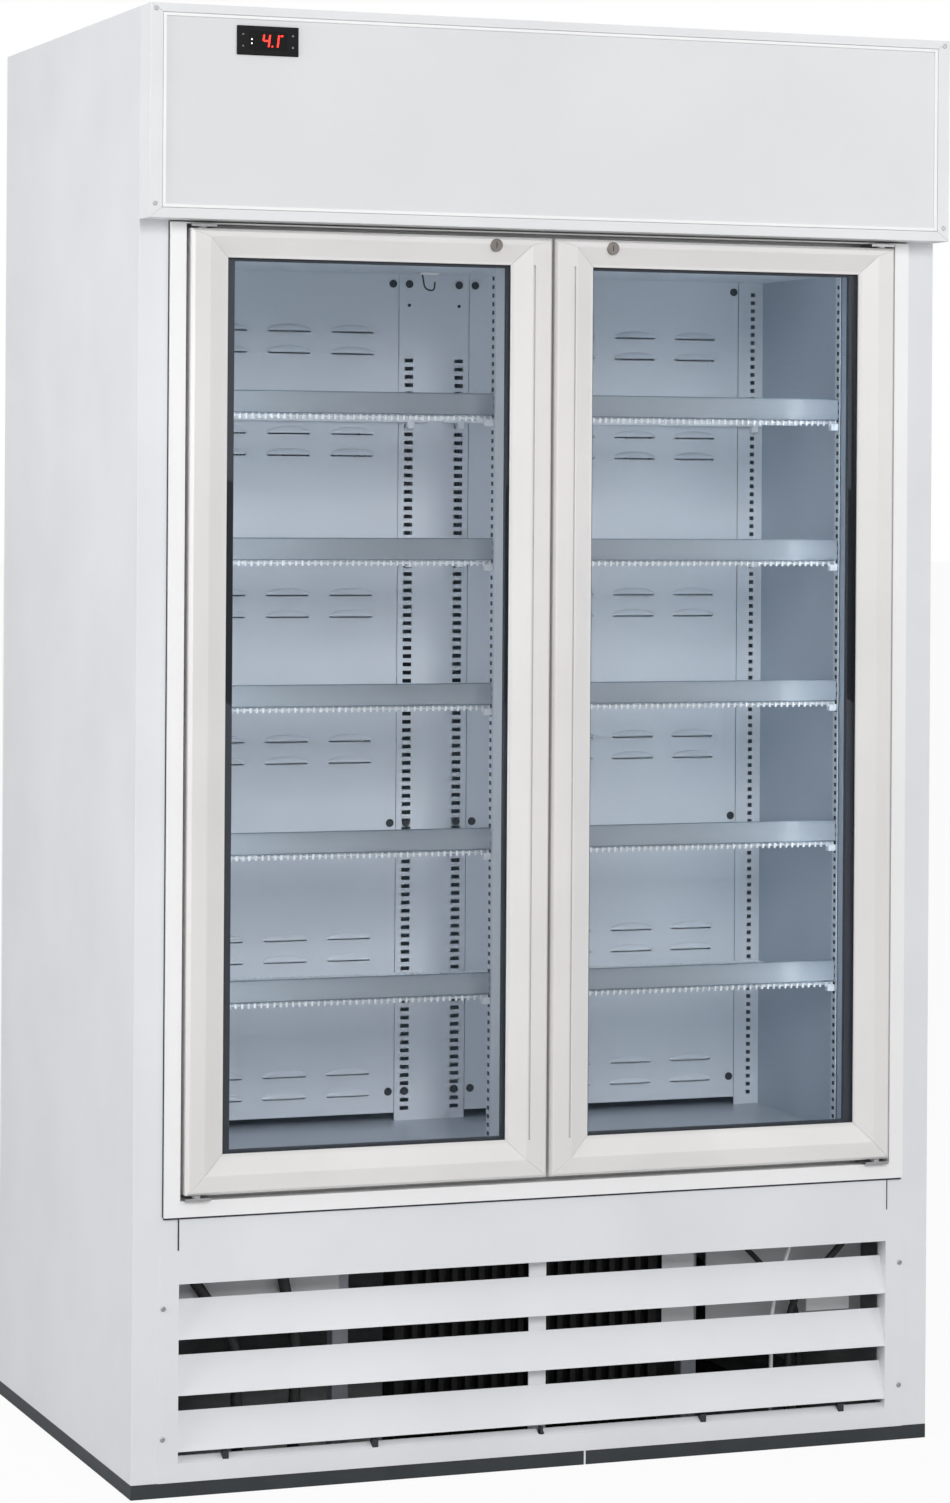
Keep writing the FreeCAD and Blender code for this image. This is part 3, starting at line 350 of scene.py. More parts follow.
class Finish(Enum):
    """The finishes of the cooler's pieces."""

    SHELL = Skin("shell_powder_coat", display(235, 237, 240), roughness=0.5, coat=0.03, specular=0.4)
    CANOPY = Skin("canopy_extrusion", display(236, 237, 239), roughness=0.33, coat=0.2)
    BEAD = Skin("sign_bead", display(253, 253, 253), roughness=0.3, clouding=0.02)
    SIGN = Skin("sign_sheet", display(231, 232, 234), roughness=0.3, clouding=0.05, cloud_scale=2.5,
                coat=0.25)
    SURROUND = Skin("surround_extrusion", display(251, 251, 252), roughness=0.32, clouding=0.02, coat=0.2)
    DOOR = Skin("door_extrusion", display(234, 232, 231), roughness=0.34, clouding=0.05, coat=0.2)
    GASKET = Skin("grey_seal", display(168, 168, 170), roughness=0.6, clouding=0.08, cloud_scale=30,
                  grain_scale=300)
    LINER = Skin("liner_coating", display(216, 223, 231), roughness=0.36, clouding=0.05)
    # Side walls: a darker copy of the liner coating, with painted shade where they get less light.
    WALL = Skin("wall_coating_shaded", display(180, 191, 203), roughness=0.36, clouding=0.06)
    FLOOR = Skin("floor_coating", display(172, 180, 190), roughness=0.3, clouding=0.08)
    PLINTH = Skin("plinth_paint", display(56, 61, 65), roughness=0.55, clouding=0.15, cloud_scale=14,
                  grain_scale=420, specular=0.3)
    ZINC = Skin("galvanised_sheet", display(190, 194, 196), roughness=0.42, clouding=0.14, cloud_scale=22,
                grain_scale=240, grain_depth=0.03 * MM, metallic=0.85)
    STEEL = Skin("plated_steel", display(176, 176, 178), roughness=0.34, clouding=0.1, cloud_scale=30,
                 grain_scale=500, grain_depth=0.04 * MM, stretch=(1, 1, 0.1), metallic=1)
    CHROME = Skin("nickel_plate", display(128, 123, 119), roughness=0.32, clouding=0.1, cloud_scale=60,
                  grain_scale=900, grain_depth=0.01 * MM, metallic=1)
    WIRE = Skin("coated_wire", display(243, 247, 251), roughness=0.35, clouding=0.05, cloud_scale=40)
    RUBBER = Skin("black_rubber", display(38, 38, 40), roughness=0.65, clouding=0.2, cloud_scale=30,
                  grain_scale=350)
    FOAM = Skin("poured_foam", display(232, 222, 184), roughness=0.85, clouding=0.12, cloud_scale=30,
                grain_scale=180, grain_depth=0.6 * MM)
    BLACK = Skin("black_enamel", display(33, 34, 36), roughness=0.42, clouding=0.2, cloud_scale=25)
    BEZEL = Skin("bezel_plastic", display(17, 17, 19), roughness=0.4, clouding=0.15, cloud_scale=40,
                 grain_scale=900, grain_depth=0.03 * MM, specular=0.15)
    WINDOW = Skin("display_window", display(9, 8, 9), roughness=0.2, clouding=0.2, cloud_scale=30,
                  grain_scale=200, grain_depth=0.005 * MM, specular=0.2)
    MARK = Skin("key_mark", display(150, 152, 156), roughness=0.5, clouding=0.1, cloud_scale=60)
    PLUG = Skin("hole_plug", display(36, 38, 42), roughness=0.5, clouding=0.2, cloud_scale=60)
    COPPER = Skin("copper_pipe", display(184, 120, 88), roughness=0.35, clouding=0.2, cloud_scale=40,
                  grain_scale=400, grain_depth=0.03 * MM, metallic=1)
    FAN = Skin("fan_moulding", display(44, 45, 48), roughness=0.45, clouding=0.2, cloud_scale=30)
    TUBE = Lit("sign_tube", display(245, 248, 250), glow=0.6)
    STRIP = Lit("strip_cover", display(240, 248, 255), glow=9.5)
    DIGIT = Lit("red_digit", display(255, 40, 28), glow=3.2)
    PILOT = Lit("white_pilot", display(250, 240, 240), glow=1.2)
    GLASS = Clear("door_glass", display(104, 128, 150), alpha=0.014)
    GUARD = Clear("clear_guard", display(232, 241, 250), alpha=0.32, roughness=0.08)
    GUARD_EDGE = Skin("guard_edge", display(104, 118, 132), roughness=0.3, clouding=0.08, cloud_scale=40)
    SPACER = Skin("spacer_bar", display(40, 46, 54), roughness=0.5, clouding=0.1, cloud_scale=30)
    POST = Skin("post_paint", display(228, 234, 244), roughness=0.45, clouding=0.08, cloud_scale=12)
    BAFFLE = Skin("baffle_paint", display(226, 227, 229), roughness=0.5, clouding=0.08, cloud_scale=10)
    CONDENSER = Finned("condenser_fins", display(18, 19, 21), pitch=3.2 * MM)
    EVAPORATOR = Finned("evaporator_fins", display(196, 200, 204), pitch=5 * MM, metallic=0.8,
                        roughness=0.45, gap_shade_tone=0.25)


MATERIALS: dict[Finish, bpy.types.Material] = {}


def material(finish: Finish) -> bpy.types.Material:
    """Give a finish's material, made at its first use.

    Args:
        finish: The finish.

    Returns:
        Its material.
    """
    if finish not in MATERIALS:
        MATERIALS[finish] = finish.value.make()
    return MATERIALS[finish]


def dress(finish: Finish, *nodes: str) -> None:
    """Give CAD nodes their finish.

    Args:
        finish: The finish that they get.
        nodes: The nodes' names.
    """
    for node in nodes:
        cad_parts[node].material_slots[0].material = material(finish)
        LOG.info("CAD node %s in %s", node, finish.value.name)


def settle(piece: Piece, finish: Finish, body: str = CABINET, nodes: Sequence[str] = ()) -> None:
    """Finish a new piece and let it ride on a body.

    Args:
        piece: The finished piece.
        finish: The finish that it gets.
        body: The CAD body that it moves with.
        nodes: CAD nodes that it stands for.
    """
    Bench.modify(piece, "WEIGHTED_NORMAL", keep_sharp=True)
    piece.data.materials.clear()
    piece.data.materials.append(material(finish))
    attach(piece, body)
    if nodes:
        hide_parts(*nodes)
    LOG.info("piece %s on %s", piece.name, body)


def refine(node: str, name: str, width: float, finish: Finish, body: str = CABINET,
           segments: int = 2) -> None:
    """Put a copy of a CAD node with rounded edges in its place.

    Args:
        node: The CAD node.
        name: The piece's name.
        width: Width of each rounded edge.
        finish: The finish that it gets.
        body: The CAD body that it moves with.
        segments: Faces across a rounded edge.
    """
    settle(Bench.soften(Bench.traced(node, name), width, segments), finish, body, [node])


def looks_front(face: bmesh.types.BMFace) -> bool:
    """Say whether a face looks straight to -Y."""
    return face.normal.y < -STRAIGHT


class Bench:
    """Modelling moves that the sub-assemblies share."""

    @staticmethod
    def clear() -> None:
        """Leave nothing selected."""
        bpy.ops.object.select_all(action="DESELECT")

    @staticmethod
    def pick(*pieces: Piece) -> None:
        """Select these pieces alone, with the first one active.

        Args:
            pieces: The pieces.
        """
        Bench.clear()
        for piece in pieces:
            piece.select_set(True)
        bpy.context.view_layer.objects.active = pieces[0]

    @staticmethod
    @contextmanager
    def editing(piece: Piece) -> Iterator[None]:
        """Hold a piece in edit mode, with all of it selected.

        Args:
            piece: The piece.

        Yields:
            Nothing, while the piece is in edit mode.
        """
        Bench.pick(piece)
        bpy.ops.object.mode_set(mode="EDIT")
        bpy.ops.mesh.select_all(action="SELECT")
        yield
        bpy.ops.object.mode_set(mode="OBJECT")

    @staticmethod
    def choose(piece: Piece, kind: str, test: Callable) -> None:
        """Select elements in edit mode by their place or normal.

        Args:
            piece: The piece that is in edit mode.
            kind: "VERT", "EDGE" or "FACE".
            test: Says of a bmesh element whether it is selected.
        """
        bpy.ops.mesh.select_mode(type=kind)
        bpy.ops.mesh.select_all(action="DESELECT")
        mesh = bmesh.from_edit_mesh(piece.data)
        for element in {"VERT": mesh.verts, "EDGE": mesh.edges, "FACE": mesh.faces}[kind]:
            if test(element):
                element.select_set(True)
        mesh.select_flush_mode()
        bmesh.update_edit_mesh(piece.data)

    @staticmethod
    def modify(piece: Piece, kind: str, **settings: float | str | Sequence[float] | Piece) -> Piece:
        """Apply a modifier to a piece.

        Args:
            piece: The piece.
            kind: The modifier's type.
            settings: The modifier's settings by name.

        Returns:
            The piece.
        """
        Bench.pick(piece)
        change = piece.modifiers.new(kind.lower(), kind)
        for name, value in settings.items():
            setattr(change, name, value)
        bpy.ops.object.modifier_apply(modifier=change.name)
        return piece

    @staticmethod
    def named(name: str) -> Piece:
        """Name the active object and put its place into its mesh.

        Args:
            name: The name.

        Returns:
            The piece.
        """
        piece = bpy.context.active_object
        piece.name = name
        piece.data.name = name
        bpy.ops.object.transform_apply(location=True, rotation=True, scale=True)
        return piece

    @staticmethod
    def put(piece: Piece, place: Sequence[float], turn: float = 0) -> Piece:
        """Turn a piece about Z by degrees and move it to a place, inside its own mesh.

        Args:
            piece: The piece, at the origin.
            place: Where it goes.
            turn: Its turn in degrees.

        Returns:
            The piece.
        """
        Bench.pick(piece)
        piece.rotation_euler = (0, 0, math.radians(turn))
        piece.location = place
        return Bench.named(piece.name)

    @staticmethod
    def block(name: str, low: Sequence[float], high: Sequence[float]) -> Piece:
        """Start a piece from a block between two corners.

        Args:
            name: The piece's name.
            low: Its lowest corner.
            high: Its highest corner.

        Returns:
            The piece.
        """
        low, high = Vector(low), Vector(high)
        Bench.clear()
        bpy.ops.mesh.primitive_cube_add(size=1, location=(low + high) / 2)
        bpy.context.active_object.scale = high - low
        return Bench.named(name)

    @staticmethod
    def face(name: str, middle: Vector, wide: float, tall: float) -> Piece:
        """Start a piece from one upright face that looks to -Y.

        Args:
            name: The piece's name.
            middle: The face's middle.
            wide: Its width.
            tall: Its height.

        Returns:
            The piece.
        """
        Bench.clear()
        bpy.ops.mesh.primitive_plane_add(size=1, location=middle, rotation=(math.pi / 2, 0, 0))
        bpy.context.active_object.scale = (wide, tall, 1)
        return Bench.named(name)

    @staticmethod
    def disc(name: str, start: Sequence[float], along: Point, radius: float, length: float,
             sides: int) -> Piece:
        """Start a piece from a round bar.

        Args:
            name: The piece's name.
            start: Middle of its first end.
            along: Unit direction to its second end.
            radius: Its radius.
            length: Its length.
            sides: Faces round it.

        Returns:
            The piece.
        """
        way = Vector(along)
        turn = way.to_track_quat("Z", "Y").to_euler()
        Bench.clear()
        bpy.ops.mesh.primitive_cylinder_add(vertices=sides, radius=radius, depth=length,
                                            location=Vector(start) + way * length / 2, rotation=turn)
        return Bench.named(name)

    @staticmethod
    def smooth(piece: Piece, angle: float) -> Piece:
        """Shade a piece smooth, apart from edges sharper than an angle in degrees.

        Args:
            piece: The piece.
            angle: The least angle of a sharp edge.

        Returns:
            The piece.
        """
        Bench.pick(piece)
        bpy.ops.object.shade_smooth_by_angle(angle=math.radians(angle))
        return piece

    @staticmethod
    def weld(piece: Piece) -> None:
        """Merge a piece's vertices that lie on each other."""
        with Bench.editing(piece):
            bpy.ops.mesh.remove_doubles(threshold=WELD)

    @staticmethod
    def soften(piece: Piece, width: float, segments: int = 2, angle: float = 30) -> Piece:
        """Round a piece's edges and smooth its shading.

        Args:
            piece: The piece.
            width: Width of each rounded edge.
            segments: Faces across it.
            angle: Least angle, in degrees, of an edge that is rounded.

        Returns:
            The piece.
        """
        Bench.modify(piece, "BEVEL", width=width, segments=segments, limit_method="ANGLE",
                     angle_limit=math.radians(angle))
        Bench.weld(piece)
        return Bench.smooth(piece, angle)

    @staticmethod
    def traced(node: str, name: str) -> Piece:
        """Copy a CAD node's mesh, merged, with its flat faces whole again.

        Args:
            node: The CAD node.
            name: The copy's name.

        Returns:
            The copy.
        """
        piece = bpy.data.objects.new(name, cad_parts[node].data.copy())
        bpy.context.scene.collection.objects.link(piece)
        with Bench.editing(piece):
            bpy.ops.mesh.remove_doubles(threshold=TOUCH)
            bpy.ops.mesh.dissolve_limited(angle_limit=math.radians(FLAT_ANGLE))
        return piece

    @staticmethod
    def cut(piece: Piece, *tools: Piece) -> None:
        """Cut other pieces away from a piece, and delete them.

        Args:
            piece: The piece that is cut.
            tools: The pieces that cut it.
        """
        for tool in tools:
            Bench.modify(piece, "BOOLEAN", operation="DIFFERENCE", object=tool)
            bpy.data.objects.remove(tool)

    @staticmethod
    def repeated(piece: Piece, count: int, step: Point) -> Piece:
        """Repeat a piece along a step inside its own mesh."""
        return Bench.modify(piece, "ARRAY", count=count, use_relative_offset=False, use_constant_offset=True,
                            constant_offset_displace=step, use_merge_vertices=True, merge_threshold=WELD)

    @staticmethod
    def copied(piece: Piece, name: str, shift: Sequence[float]) -> Piece:
        """Copy a piece with its own mesh, moved by a shift.

        Args:
            piece: The piece.
            name: The copy's name.
            shift: How far the copy is moved.

        Returns:
            The copy.
        """
        Bench.pick(piece)
        bpy.ops.object.duplicate()
        bpy.context.active_object.location = shift
        return Bench.named(name)

    @staticmethod
    def spread(pattern: Piece, name: str, places: Sequence[Sequence[float]]) -> list[Piece]:
        """Copy a pattern to several places, and delete it.

        Args:
            pattern: The pattern, at the origin.
            name: Start of the copies' names.
            places: Where the copies go.

        Returns:
            The copies.
        """
        copies = [Bench.copied(pattern, f"{name}_{index}", place) for index, place in enumerate(places)]
        bpy.data.objects.remove(pattern)
        return copies

    @staticmethod
    def joined(name: str, pieces: Sequence[Piece]) -> Piece:
        """Put several meshes into one piece.

        Args:
            name: The piece's name.
            pieces: Two or more pieces.

        Returns:
            The piece.
        """
        Bench.pick(*pieces)
        bpy.ops.object.join()
        return Bench.named(name)

    @staticmethod
    def spans(x: Span, z: Span, profile: Profile) -> list[tuple[float, ...]]:
        """Give the left, right, bottom, top and Y of each of a profile's points."""
        return [(x[0] + a, x[1] - b, z[0] + c, z[1] - d, y) for a, b, c, d, y in profile]

    @staticmethod
    def ring(name: str, x: Span, z: Span, profile: Profile) -> Piece:
        """Draw a closed profile round a rectangle, with mitred corners.

        Args:
            name: The piece's name.
            x: Outer span across.
            z: Outer span upwards.
            profile: Points (left, right, bottom, top inset, Y), counter-clockwise seen along the member.

        Returns:
            The piece.
        """
        loops = [(Vector(((left + right) / 2, y, (low + high) / 2)), right - left, high - low)
                 for left, right, low, high, y in Bench.spans(x, z, profile)]
        start = middle, wide, tall = loops[0]
        piece = Bench.face(name, *start)
        with Bench.editing(piece):
            for target, across, rise in loops[1:] + loops[:1]:
                bpy.ops.mesh.extrude_region_move(TRANSFORM_OT_translate={"value": target - middle})
                bpy.ops.transform.resize(value=(across / wide, 1, rise / tall), center_override=target)
                middle, wide, tall = target, across, rise
            Bench.choose(piece, "FACE", lambda face: (face.calc_center_median() - middle).length < WELD)
            bpy.ops.mesh.delete(type="FACE")
            bpy.ops.mesh.select_all(action="SELECT")
            bpy.ops.mesh.remove_doubles(threshold=WELD)
            bpy.ops.mesh.normals_make_consistent(inside=False)
        return piece

    @staticmethod
    def bar(name: str, near: Sequence[Vector], far: Sequence[Vector]) -> Piece:
        """Draw a closed bar from one outline to another with as many points.

        Args:
            name: The piece's name.
            near: Points of its first end, in order, all above the floor.
            far: Points of its second end, in the same order.

        Returns:
            The bar.
        """
        Bench.clear()
        bpy.ops.mesh.primitive_circle_add(vertices=len(near), radius=1, fill_type="NGON")
        piece = Bench.named(name)
        flat = [vert.co.copy() for vert in piece.data.vertices]
        with Bench.editing(piece):
            Bench.move(piece, flat, near)
            bpy.ops.mesh.select_all(action="SELECT")
            bpy.ops.mesh.extrude_region_move(TRANSFORM_OT_translate={"value": -BELOW})
            Bench.move(piece, [point - BELOW for point in near], far)
            bpy.ops.mesh.select_all(action="SELECT")
            bpy.ops.mesh.normals_make_consistent(inside=False)
        return piece

    @staticmethod
    def move(piece: Piece, starts: Sequence[Vector], goals: Sequence[Vector]) -> None:
        """Move vertices in edit mode, each from its place to its goal.

        Args:
            piece: The piece that is in edit mode.
            starts: Where the vertices are.
            goals: Where they go, in the same order.
        """
        for start, goal in zip(starts, goals):
            Bench.choose(piece, "VERT", lambda vert: (vert.co - start).length < WELD)
            bpy.ops.transform.translate(value=goal - start)

    @staticmethod
    def mitred(name: str, x: Span, z: Span, profile: Profile, width: float, segments: int = 2,
               angle: float = 30) -> list[Piece]:
        """Draw a closed profile round a rectangle as four rounded members, parted along their mitres.

        Args:
            name: Start of the members' names.
            x: Outer span across.
            z: Outer span upwards.
            profile: Points as for a ring.
            width: Width of each rounded edge.
            segments: Faces across it.
            angle: Least angle, in degrees, of an edge that is rounded.

        Returns:
            The bottom, right, top and left members.
        """
        spans = Bench.spans(x, z, profile)
        corners = [[Vector((span[across], span[4], span[rise])) for span in spans]
                   for across, rise in ((0, 2), (1, 2), (1, 3), (0, 3))]
        bars = [Bench.bar(f"{name}_{index}", near, far)
                for index, (near, far) in enumerate(zip(corners, corners[1:] + corners[:1]))]
        return [Bench.soften(bar, width, segments, angle) for bar in bars]

    @staticmethod
    def tube(name: str, points: Sequence[Sequence[float]], radius: float, bend: float = 0,
             steps: int = 1) -> Piece:
        """Draw a rod or pipe along straight runs with rounded corners.

        Args:
            name: The piece's name.
            points: The corners of its middle line.
            radius: Its radius.
            bend: How far from a corner its bend starts.
            steps: Steps of its roundness.

        Returns:
            The piece.
        """
        Bench.clear()
        bpy.ops.mesh.primitive_plane_add(size=radius, location=points[0])
        with Bench.editing(Bench.named(name)):
            bpy.ops.mesh.merge(type="CENTER")
            bpy.ops.mesh.select_mode(type="VERT")
            bpy.ops.mesh.select_all(action="SELECT")
            for before, after in zip(points, points[1:]):
                shift = Vector(after) - Vector(before)
                bpy.ops.mesh.extrude_vertices_move(TRANSFORM_OT_translate={"value": shift})
            if bend:
                Bench.choose(bpy.context.active_object, "VERT", lambda vert: len(vert.link_edges) == 2)
                bpy.ops.mesh.bevel(offset=bend, segments=BEND_FACES, affect="VERTICES")
        bpy.ops.object.convert(target="CURVE")
        curve = bpy.context.active_object.data
        curve.bevel_depth = radius
        curve.bevel_resolution = steps
        curve.use_fill_caps = True
        bpy.ops.object.convert(target="MESH")
        piece = Bench.named(name)
        Bench.weld(piece)
        return Bench.smooth(piece, ROUND_ANGLE)


@dataclass(frozen=True)
class Lamp:
    """A soft rectangular lamp: where it hangs, the point that it faces, its size and its power in watts."""

    name: str
    place: Point
    aim: Point
    size: Span
    power: float

    def hang(self) -> None:
        """Add the lamp to the scene."""
        Bench.clear()
        turn = (Vector(self.aim) - Vector(self.place)).to_track_quat("-Z", "Y").to_euler()
        bpy.ops.object.light_add(type="AREA", location=self.place, rotation=turn)
        lamp = bpy.context.active_object
        lamp.name = f"{self.name}_lamp"
        lamp.data.shape = "RECTANGLE"
        lamp.data.size, lamp.data.size_y = self.size
        lamp.data.energy = self.power


@dataclass
class Studio:
    """White floor, soft lamps, even surroundings and the camera."""

    floor_size: float = 160
    floor_tones: tuple[int, int] = (206, 212)
    floor_cloud: float = 0.6
    floor_roughness: float = 0.9
    floor_white: float = 0.94
    ambient: float = 0.4
    lamps: tuple[Lamp, ...] = (
        Lamp("key", place=(-0.85, -5.4, 3.1), aim=(0, -0.3, 1.1), size=(0.5, 1.6), power=97),
        Lamp("fill", place=(3.4, -4.2, 2.2), aim=(0, -0.3, 1), size=(2.6, 2.6), power=36),
        Lamp("overhead", place=(-0.6, 0.2, 4.6), aim=(0, 0, 1), size=(3, 3), power=30),
        Lamp("rim", place=(-3.3, -0.8, 1.7), aim=(-0.6, -0.1, 1.4), size=(1.4, 1.4), power=36))
    lens: float = 101.05
    eye: Point = (-2.1832, -5.8636, 1.3643)
    yaw: float = 20.57
    roll: float = 0.3845
    shift: float = -0.1685
    sight: float = 200

    def build(self) -> None:
        """Set up the floor, the world, the lamps and the camera."""
        self.floor()
        self.world()
        for lamp in self.lamps:
            lamp.hang()
        self.camera()

    def floor(self) -> None:
        """Lay the floor, which the camera sees nearly white, with the cooler's shadow."""
        Bench.clear()
        bpy.ops.mesh.primitive_plane_add(size=self.floor_size)
        floor = Bench.named("studio_floor")
        shader = Shader("studio_floor")
        shader.ramp(shader.noise(self.floor_cloud), *(display(tone, tone, tone) for tone in self.floor_tones))
        shader.surface(Roughness=self.floor_roughness)
        seen = shader.add("LightPath").outputs["Is Camera Ray"]
        mix = shader.add("MixShader", Fac=shader.work("MULTIPLY", seen, self.floor_white))
        shader.feed(mix.inputs[1], shader.base.outputs["BSDF"])
        shader.feed(mix.inputs[2], shader.add("Emission").outputs["Emission"])
        shader.set(shader.tree.nodes["Material Output"], Surface=mix.outputs["Shader"])
        floor.data.materials.append(shader.material)

    def world(self) -> None:
        """Give even grey surroundings, white where the camera, gloss and glass look."""
        world = bpy.data.worlds.new("studio")
        bpy.context.scene.world = world
        world.use_nodes = True
        graph = Graph(world.node_tree)
        seen = graph.add("LightPath").outputs
        share = seen["Is Camera Ray"]
        for name in ("Is Glossy Ray", "Is Transmission Ray"):
            share = graph.work("MAXIMUM", share, seen[name])
        spread = graph.add("MapRange", Value=share, To_Min=self.ambient, To_Max=1)
        graph.set(graph.tree.nodes["Background"], Color=(1, 1, 1, 1), Strength=spread.outputs["Result"])

    def camera(self) -> None:
        """Stand the camera where the photograph was taken from."""
        Bench.clear()
        bpy.ops.object.camera_add()
        camera = bpy.context.active_object
        yaw, roll = math.radians(self.yaw), math.radians(self.roll)
        ahead = Vector((math.sin(yaw), math.cos(yaw), 0))
        level, up = Vector((math.cos(yaw), -math.sin(yaw), 0)), Vector((0, 0, 1))
        right = level * math.cos(roll) + up * math.sin(roll)
        top = up * math.cos(roll) - level * math.sin(roll)
        camera.matrix_world = Matrix.LocRotScale(
            Vector(self.eye), Matrix((right, top, -ahead)).transposed().to_quaternion(), None)
        camera.data.lens = self.lens
        camera.data.shift_y = self.shift
        camera.data.clip_end = self.sight
        bpy.context.scene.camera = camera


@dataclass(frozen=True)
class Screw:
    """A pan-head screw with a cross recess, modelled once facing -Y and copied."""

    radius: float = 3.75 * MM
    height: float = 1.8 * MM
    recess: float = 0.9 * MM
    arm: float = 2.3 * MM
    slot: float = 0.5 * MM
    dome: float = 0.6
    dome_faces: int = 3
    sides: int = 16
    play: float = 0.4 * MM
    sink: float = 0.05 * MM

    def build(self) -> Piece:
        """Model the head.

        Returns:
            The screw, with the face that it seats on at the origin.
        """
        head = Bench.disc("screw_pattern", ORIGIN, FRONT, self.radius, self.height, self.sides)
        with Bench.editing(head):
            Bench.choose(head, "FACE", looks_front)
            bpy.ops.mesh.bevel(offset=self.height * self.dome, segments=self.dome_faces)
        for wide, tall in ((self.arm, self.slot), (self.slot, self.arm)):
            Bench.cut(head, Bench.block("recess", (-wide, -2 * self.height, -tall),
                                        (wide, self.recess - self.height, tall)))
        return Bench.smooth(head, TURNED_ANGLE)

    def sunk(self, name: str, sheets: Sequence[Piece], places: Sequence[Point], facing: float = 0) -> Piece:
        """Set screws flush in holes that are cut for them.

        Args:
            name: The piece's name.
            sheets: The closed pieces that the holes are cut in.
            places: The middle of each head, on the sheet's face.
            facing: Turn about Z in degrees, from -Y.

        Returns:
            The screws.
        """
        inward = 1 if facing == 0 else -1
        depth = self.height + self.sink
        holes = [Bench.disc(f"{name}_hole_{index}", (x, y - inward * depth, z), (0, inward, 0),
                            self.radius + self.play, 2 * depth, self.sides)
                 for index, (x, y, z) in enumerate(places)]
        tools = Bench.spread(Bench.joined(f"{name}_holes", holes), f"{name}_tool", [ORIGIN] * len(sheets))
        for sheet, tool in zip(sheets, tools):
            Bench.cut(sheet, tool)
        return self.row(name, [(x, y + inward * depth, z) for x, y, z in places], facing)

    def row(self, name: str, places: Sequence[Point], facing: float = 0) -> Piece:
        """Set screws at several places as one piece.

        Args:
            name: The piece's name.
            places: Where each head seats.
            facing: Turn about Z in degrees, from -Y.

        Returns:
            The piece.
        """
        return Bench.joined(name, Bench.spread(Bench.put(self.build(), ORIGIN, facing), name, places))


@dataclass
class Cabinet:
    """Outer shell: folded side panels, top, back, plinth, base and feet."""

    fold: float = 0.5 * MM
    hem_drop: float = 10 * MM
    foot_round: float = 1.5 * MM
    back_screws: tuple[tuple[str, int], ...] = (("rear_panel", 6), ("rear_service_grille", 3))
    screw: Screw = Screw(height=1 * MM, recess=0.5 * MM)
    screw_inset: float = 18 * MM
    plinth_seam: float = 65 * MM
    joint: float = 3 * MM
    joint_depth: float = 10 * MM
    joint_round: float = 0.3 * MM

    def build(self) -> None:
        """Model and dress the shell."""
        for label in SIDES:
            refine(f"{label}_side_panel", f"{label}_shell_side", self.fold, Finish.SHELL)
        refine("top_panel", "shell_top", self.fold, Finish.SHELL)
        self.hem()
        dress(Finish.PLINTH, "plinth")
        refine("levelling_feet", "moulded_feet", self.foot_round, Finish.RUBBER)
        dress(Finish.ZINC, "base_tray", "machine_deck", "ceiling_deck")
        dress(Finish.FOAM, "foam_insulation")
        for node, rows in self.back_screws:
            self.back_sheet(node, rows)
        self.plinth_joint()

    def hem(self) -> None:
        """Fold the top panel's front edge down behind the canopy."""
        low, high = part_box("top_panel")
        _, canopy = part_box("canopy_frame")
        _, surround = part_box("surround_frame")
        half = surround.x - self.fold
        hem = Bench.block("top_hem", (-half, canopy.y, high.z - self.hem_drop), (half, low.y, high.z))
        settle(Bench.soften(hem, self.fold / 2), Finish.SHELL)

    def back_sheet(self, node: str, rows: int) -> None:
        """Model a back sheet with flush screws along its upright edges.

        Args:
            node: The CAD sheet.
            rows: Screws along each edge.
        """
        low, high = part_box(node)
        bottom, top = low.z + self.screw_inset, high.z - self.screw_inset
        step = (top - bottom) / (rows - 1)
        places = [(side * (high.x - self.screw_inset), high.y, bottom + step * row)
                  for side in SIDES.values() for row in range(rows)]
        sheet = Bench.traced(node, f"{node}_sheet")
        screws = self.screw.sunk(f"{node}_screws", [sheet], places, HALF_TURN)
        settle(sheet, Finish.ZINC, nodes=[node])
        settle(screws, Finish.STEEL)

    def plinth_joint(self) -> None:
        """Fill the joint of the front plinth with its pale strip."""
        low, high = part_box("plinth")
        near, far = (self.plinth_seam + side * self.joint / 2 for side in SIDES.values())
        strip = Bench.block("plinth_joint_strip", (near, low.y, low.z),
                            (far, low.y + self.joint_depth, high.z))
        settle(Bench.soften(strip, self.joint_round), Finish.SHELL)


